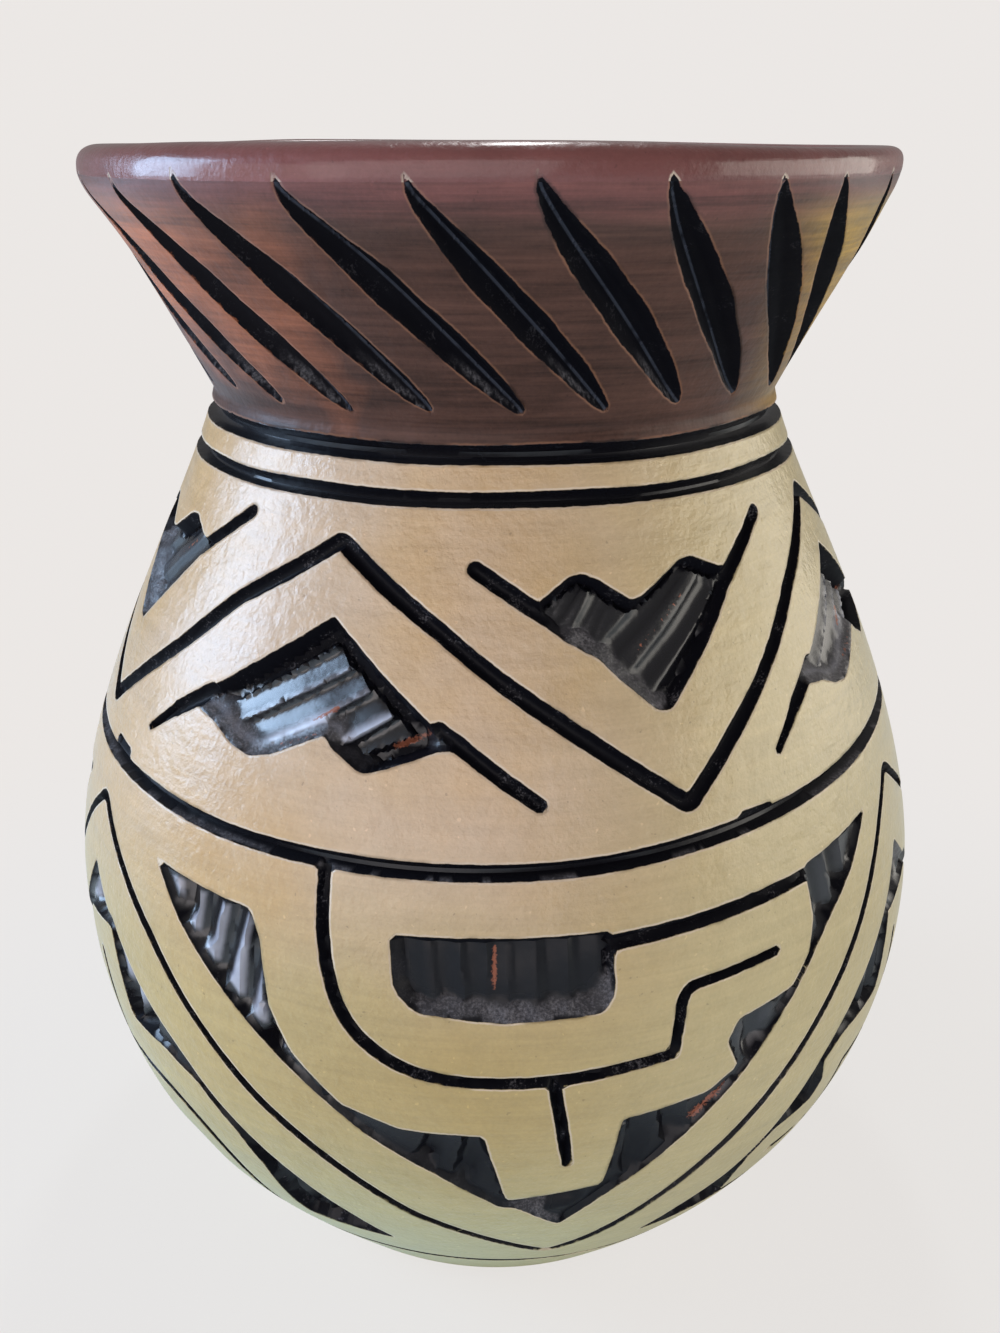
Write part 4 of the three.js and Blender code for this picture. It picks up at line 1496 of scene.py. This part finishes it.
@dataclass(frozen=True)
class InkedSlip:
    """A brushed slip under lacquer, with black stain in every cut.

    light and warm are its two clouds, dull its tone low on the pot. foot, far and lip are other
    tones near the foot, on the right and near the lip, and edge is the rim beside a cut, partly
    bare pale clay and partly a painted highlight of light caught by its rounding, which rises and
    falls with the distance from it. Heights, sides and distances are in millimetres.
    """

    name: str
    light: Colour
    warm: Colour
    dull: Colour
    streak: float
    mottle: float
    gloss: float
    coat: float
    coat_roughness: float
    shine: float
    grain: float = 0.1
    # Colour of the rim beside a cut: partly bare clay, partly painted highlight.
    edge: Colour = (0.68, 0.57, 0.45)
    rim_highlight_share: float = 0.75
    sided: float = 0.0
    sided_from: Range = (-62.0, -8.0)
    dull_from: Range = (108.0, 70.0)
    foot_from: Range = (68.0, 16.0)
    lip_from: Range = (189.0, 195.0)
    lip_coat_from: Range = (184.0, 197.0)
    ink_ends: Range = (-0.06, 0.09)
    halo_width: Range = (0.05, 0.6)
    rim_highlight_rise: Range = (0.02, 0.08)
    rim_highlight_fall: Range = (0.12, 0.46)
    rounded: Range = (-0.35, 0.4)
    far: Colour | None = None
    far_from: Range = (36.0, 54.0)
    halo: float = 0.25
    lip: Colour | None = None
    lip_coat: float = 0.6
    foot: Colour | None = None
    fray: float = 0.3
    stain: BlackStain = BlackStain()

    def _slip(self, graph: Graph, place: Sock, streaks: Sock) -> Sock:
        """The slip's colour: cloudy, brushed round the pot, with grain, pits and chips.

        Args:
            graph: The material's graph.
            place: The object's coordinates.
            streaks: The brush's streaks, from 0 to 1.

        Returns:
            The colour.
        """
        clouds = graph.noise(place, 26.0, 3.0, 0.55)
        drift, height, side = clouds - 0.5, graph.height(place), graph.side(place)
        warmth = clouds.rise(0.35, 0.68) + side.rise(*self.sided_from) * self.sided
        colour = graph.blend(warmth.at_most(1.0), self.light, self.warm)
        low = (height + drift * 30.0).rise(*self.dull_from) * 0.85
        colour = graph.blend(low, colour, self.dull)
        if self.foot is not None:
            under = (height + drift * 20.0).rise(*self.foot_from)
            colour = graph.blend(under, colour, self.foot)
        if self.far is not None:
            right = (side + drift * 16.0).rise(*self.far_from) * 0.9
            colour = graph.blend(right, colour, self.far)
        if self.lip is not None:
            wavy = height + drift * 5.0 + (streaks - 0.5) * 3.0
            colour = graph.blend(wavy.rise(*self.lip_from), colour, self.lip)
        patchy = graph.noise(place, 240.0, 3.0, 0.6, shift=(2.0, 5.0, 1.0)) - 0.5
        grainy = graph.noise(place, 1700.0, 2.0, 0.6) - 0.5
        shade = 1.0 + (streaks - 0.5) * self.streak + (patchy + grainy) * self.mottle
        pits = graph.noise(place, 1100.0, 1.0).rise(0.74, 0.79)
        chips = graph.noise(place, 900.0, 1.0, shift=(3.0, 3.0, 6.0)).rise(0.74, 0.78)
        return graph.tinted(colour, shade * (1.0 - pits * 0.25) + chips * 0.22)

    def material(self) -> bpy.types.Material:
        """The finished material: slip and stain, mixed by the distance to the nearest cut."""
        made = bpy.data.materials.new(self.name)
        graph = Graph(made)
        place, rim = graph.place(), graph.mark("rim")
        wide = graph.streaks(place, 26.0, 430.0, 3.0, 0.6)
        fine = graph.streaks(place, 60.0, 1600.0, 2.0, 0.6)
        streaks = wide * 0.6 + fine * 0.4
        ragged = graph.noise(place, 720.0, 3.0, 0.65) - 0.5
        drift = graph.noise(place, 95.0, shift=(1.0, 2.0, 3.0))
        inked = 1.0 - (rim + ragged * self.fray).rise(*self.ink_ends)
        halo = (1.0 - (rim + ragged * 1.1).rise(*self.halo_width)) * drift.rise(0.5, 0.66)
        slip = graph.tinted(self._slip(graph, place, streaks), 1.0 - halo * self.halo)
        # Painted highlight: a thin pale line just outside each cut for light caught by the rounded
        # rim, partly bare clay too.
        near = (rim + ragged * 0.2).rise(*self.rim_highlight_rise)
        lit = near * (1.0 - (rim + ragged * 0.4).rise(*self.rim_highlight_fall))
        slip = graph.blend(lit * (1.0 - drift.rise(0.48, 0.64)) * self.rim_highlight_share, slip, self.edge)
        rounding = (1.0 - rim.rise(*self.rounded)) * -0.3
        grain = graph.noise(place, 620.0, 3.0, 0.65) * self.grain
        waves = graph.noise(place, 190.0, 3.0, shift=(4.0, 4.0, 4.0)) * 0.36
        bump = graph.bump(rounding + streaks * 0.07 + grain + waves)
        coat: Wire = self.coat
        if self.lip is not None:
            coat = graph.height(place).rise(*self.lip_coat_from) * self.lip_coat + coat
        gloss = self.gloss + (streaks - 0.5) * 0.2
        ground = graph.surface(slip, gloss, bump, self.shine, coat, self.coat_roughness)
        graph.finish(graph.mixed(inked, ground, self.stain.shader(graph, place)))
        return made


@dataclass(frozen=True)
class BareRedware:
    """The fired clay where no slip went: inside the pot, in the joints and under the foot."""

    name: str = "bare_redware"
    pale: Colour = (0.34, 0.135, 0.062)
    dark: Colour = (0.20, 0.075, 0.036)

    def material(self) -> bpy.types.Material:
        """The finished material, with finger marks round the pot and a sandy grain."""
        made = bpy.data.materials.new(self.name)
        graph = Graph(made)
        place = graph.place()
        rings = graph.streaks(place, 12.0, 210.0)
        grain = graph.noise(place, 1900.0)
        clouds = graph.noise(place, 30.0, 3.0)
        colour = graph.blend(clouds.rise(0.3, 0.7), self.pale, self.dark)
        colour = graph.tinted(colour, 0.85 + rings * 0.3 + (grain - 0.5) * 0.25)
        bump = graph.bump(rings * 0.9 + grain * 0.05)
        graph.finish(graph.surface(colour, 0.72 + (grain - 0.5) * 0.1, bump))
        return made


SLIPS = {
    "pale_slip": InkedSlip(
        name="pale_slip_lacquered", light=(0.53, 0.385, 0.26), warm=(0.50, 0.315, 0.138),
        dull=(0.42, 0.315, 0.12), far=(0.48, 0.40, 0.215), far_from=(-5.0, 45.0),
        foot=(0.45, 0.43, 0.22), streak=0.42, mottle=0.2, grain=0.22, gloss=0.33,
        coat=0.1, coat_roughness=0.25, shine=0.55),
    "brown_slip": InkedSlip(
        name="brown_slip_lacquered", light=(0.36, 0.115, 0.05), warm=(0.070, 0.033, 0.024),
        dull=(0.050, 0.025, 0.020), far=(0.36, 0.215, 0.035), lip=(0.13, 0.045, 0.039),
        edge=(0.42, 0.20, 0.11), rim_highlight_share=0.32, streak=2.7, mottle=0.4, sided=0.85, halo=0.5,
        fray=0.6, gloss=0.45, coat=0.06, coat_roughness=0.28, shine=0.17,
        stain=BlackStain(stray=0.12)),
    "red_slip": InkedSlip(
        name="red_slip_lacquered", light=(0.19, 0.066, 0.062), warm=(0.13, 0.042, 0.038),
        dull=(0.19, 0.066, 0.062), streak=0.6, mottle=0.25, grain=0.14, gloss=0.36,
        coat=0.42, coat_roughness=0.11, shine=0.36),
}


@dataclass(frozen=True)
class Studio:
    """Pale floor, soft lamps and the camera at the photograph's angle."""

    paper: Colour = (0.835, 0.805, 0.785)
    bounce: Colour = (0.98, 1.12, 1.18)
    world_light: float = 0.34
    even: float = 0.86
    shadow: tuple[float, float] = (0.09, 0.26)
    reach: float = 6.0
    aim_height: float = 0.11
    focal: float = 1319.87
    picture: tuple[int, int] = (1000, 1333)
    principal: tuple[float, float] = (494.5, 666.4)
    sensor: float = 36.0
    pitch: float = 21.797
    stand: Vector = (0.0, -240.84, 200.29)

    def _paper(self) -> bpy.types.Material:
        """Floor paper: even where the camera sees it, with a part of the object's soft shadow."""
        made = bpy.data.materials.new("studio_paper")
        graph = Graph(made)
        shade = tuple(part * share for part, share in zip(self.paper, self.bounce))
        lit = graph.node("BsdfDiffuse", {"Color": shade})
        even = graph.node("Emission", {"Color": self.paper, "Strength": 1.0})
        away = graph.node("VectorMath", {0: graph.place()}, 1, operation="LENGTH")
        share = self.even + away.rise(*self.shadow) * (1.0 - self.even)
        graph.finish(graph.mixed(graph.seen() * share, lit, even))
        return made

    def _floor(self) -> None:
        """A large level sheet under the vase."""
        far = self.reach
        mesh = bpy.data.meshes.new("studio_floor")
        corners = [(-far, -far, 0.0), (far, -far, 0.0), (far, far, 0.0), (-far, far, 0.0)]
        mesh.from_pydata(corners, [], [(0, 1, 2, 3)])
        mesh.materials.append(self._paper())
        linked(bpy.data.objects.new("studio_floor", mesh))

    def _world(self) -> None:
        """Even pale surroundings, which the camera sees in the paper's colour."""
        world = bpy.data.worlds.new("studio_world")
        bpy.context.scene.world = world
        graph = Graph(world)
        strength = self.world_light + graph.seen() * (1.0 - self.world_light)
        around = graph.node("Background", {"Color": self.paper, "Strength": strength})
        graph.finish(around, "ShaderNodeOutputWorld")

    def _lamp(self, name: str, at: Vector, size: Point, power: float, colour: Colour) -> None:
        """A soft box that faces the middle of the vase.

        Args:
            name: The lamp's name.
            at: Where it stands, in metres.
            size: Its width and height, in metres.
            power: Its power, in watts.
            colour: Its colour.
        """
        light = bpy.data.lights.new(name, "AREA")
        light.shape = "RECTANGLE"
        light.size, light.size_y = size
        light.energy = power
        light.color = colour
        lamp = linked(bpy.data.objects.new(name, light))
        x, y, z = at
        lamp.location = at
        tilt = math.atan2(math.hypot(x, y), z - self.aim_height)
        lamp.rotation_euler = (tilt, 0.0, math.atan2(x, -y))

    def _camera(self) -> None:
        """The camera of the photograph: its focal length, height, pitch and small shift."""
        wide, high = self.picture
        data = bpy.data.cameras.new("studio_camera")
        data.sensor_fit = "VERTICAL"
        data.sensor_height = self.sensor
        data.sensor_width = self.sensor * wide / high
        data.lens = self.focal / high * self.sensor
        data.shift_x = (wide / 2 - self.principal[0]) / high
        data.shift_y = (self.principal[1] - high / 2) / high
        data.clip_start = 0.01
        camera = linked(bpy.data.objects.new("studio_camera", data))
        camera.location = tuple(part * MM for part in self.stand)
        camera.rotation_euler = (math.radians(90.0 - self.pitch), 0.0, 0.0)
        bpy.context.scene.camera = camera

    def build(self) -> None:
        """Sets up the whole studio."""
        bpy.context.scene.view_settings.view_transform = "Standard"
        self._world()
        self._floor()
        self._lamp("front_box", (-0.25, -1.0, 0.36), (1.2, 0.8), 4.8, (1.0, 0.93, 0.95))
        self._lamp("left_box", (-1.0, 0.03, 0.42), (0.5, 0.6), 11.0, (0.49, 0.70, 1.0))
        self._lamp("left_wall", (-1.3, -0.5, 0.1), (2.0, 1.2), 6.0, (1.0, 0.90, 0.82))
        self._lamp("right_box", (1.05, 0.0, 0.1), (1.3, 1.0), 11.2, (1.0, 0.95, 0.86))
        self._lamp("top_box", (0.03, 0.35, 0.75), (0.07, 0.3), 1.2, (1.0, 1.0, 1.0))
        self._camera()


@dataclass(frozen=True)
class Vase:
    """The whole vase: six rings of clay, each lapped over the one below it."""

    base: Lap = Lap(level(RINGS.base))
    belly: Lap = Lap(RINGS.belly_at)
    neck: Lap = Lap(level(RINGS.neck))
    collar: Lap = Lap(level(RINGS.collar))
    lip: Lap = Lap(level(RINGS.lip), rise=2.0)

    def rings(self) -> list[tuple[str, str, BaseDish | ClayRing | LipCoil]]:
        """Each ring's CAD node, slot and maker, from the base up."""
        bowl = ClayRing("lower_bowl_carved", self.base, self.belly, 672, 114, 9.0)
        shoulder = ClayRing("shoulder_wall_carved", self.belly, self.neck, 720, 84)
        band = ClayRing("neck_band_turned", self.neck, self.collar, 600, 16, 2.0)
        collar = ClayRing("flared_collar_slashed", self.collar, self.lip, 720, 64)
        return [
            ("base_dish", "pale_slip", BaseDish()),
            ("lower_bowl", "pale_slip", bowl),
            ("shoulder_wall", "pale_slip", shoulder),
            ("neck_band", "pale_slip", band),
            ("flared_collar", "brown_slip", collar),
            ("lip_coil", "red_slip", LipCoil(self.lip)),
        ]

    def build(self) -> None:
        """Makes each ring, dresses it and lets it stand for its CAD node."""
        bare = BareRedware().material()
        finishes = {slot: slip.material() for slot, slip in SLIPS.items()}
        for node, slot, maker in self.rings():
            piece = maker.build()
            piece.data.materials.append(finishes[slot])
            piece.data.materials.append(bare)
            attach(piece, "root")
            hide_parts(node)
            LOG.info("%s: %d triangles", piece.name, len(piece.data.polygons))


def main() -> None:
    """Builds the vase and its studio."""
    logging.basicConfig(level=logging.INFO, format="%(name)s: %(message)s")
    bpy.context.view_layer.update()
    Vase().build()
    Studio().build()


if __name__ == "__main__":
    main()
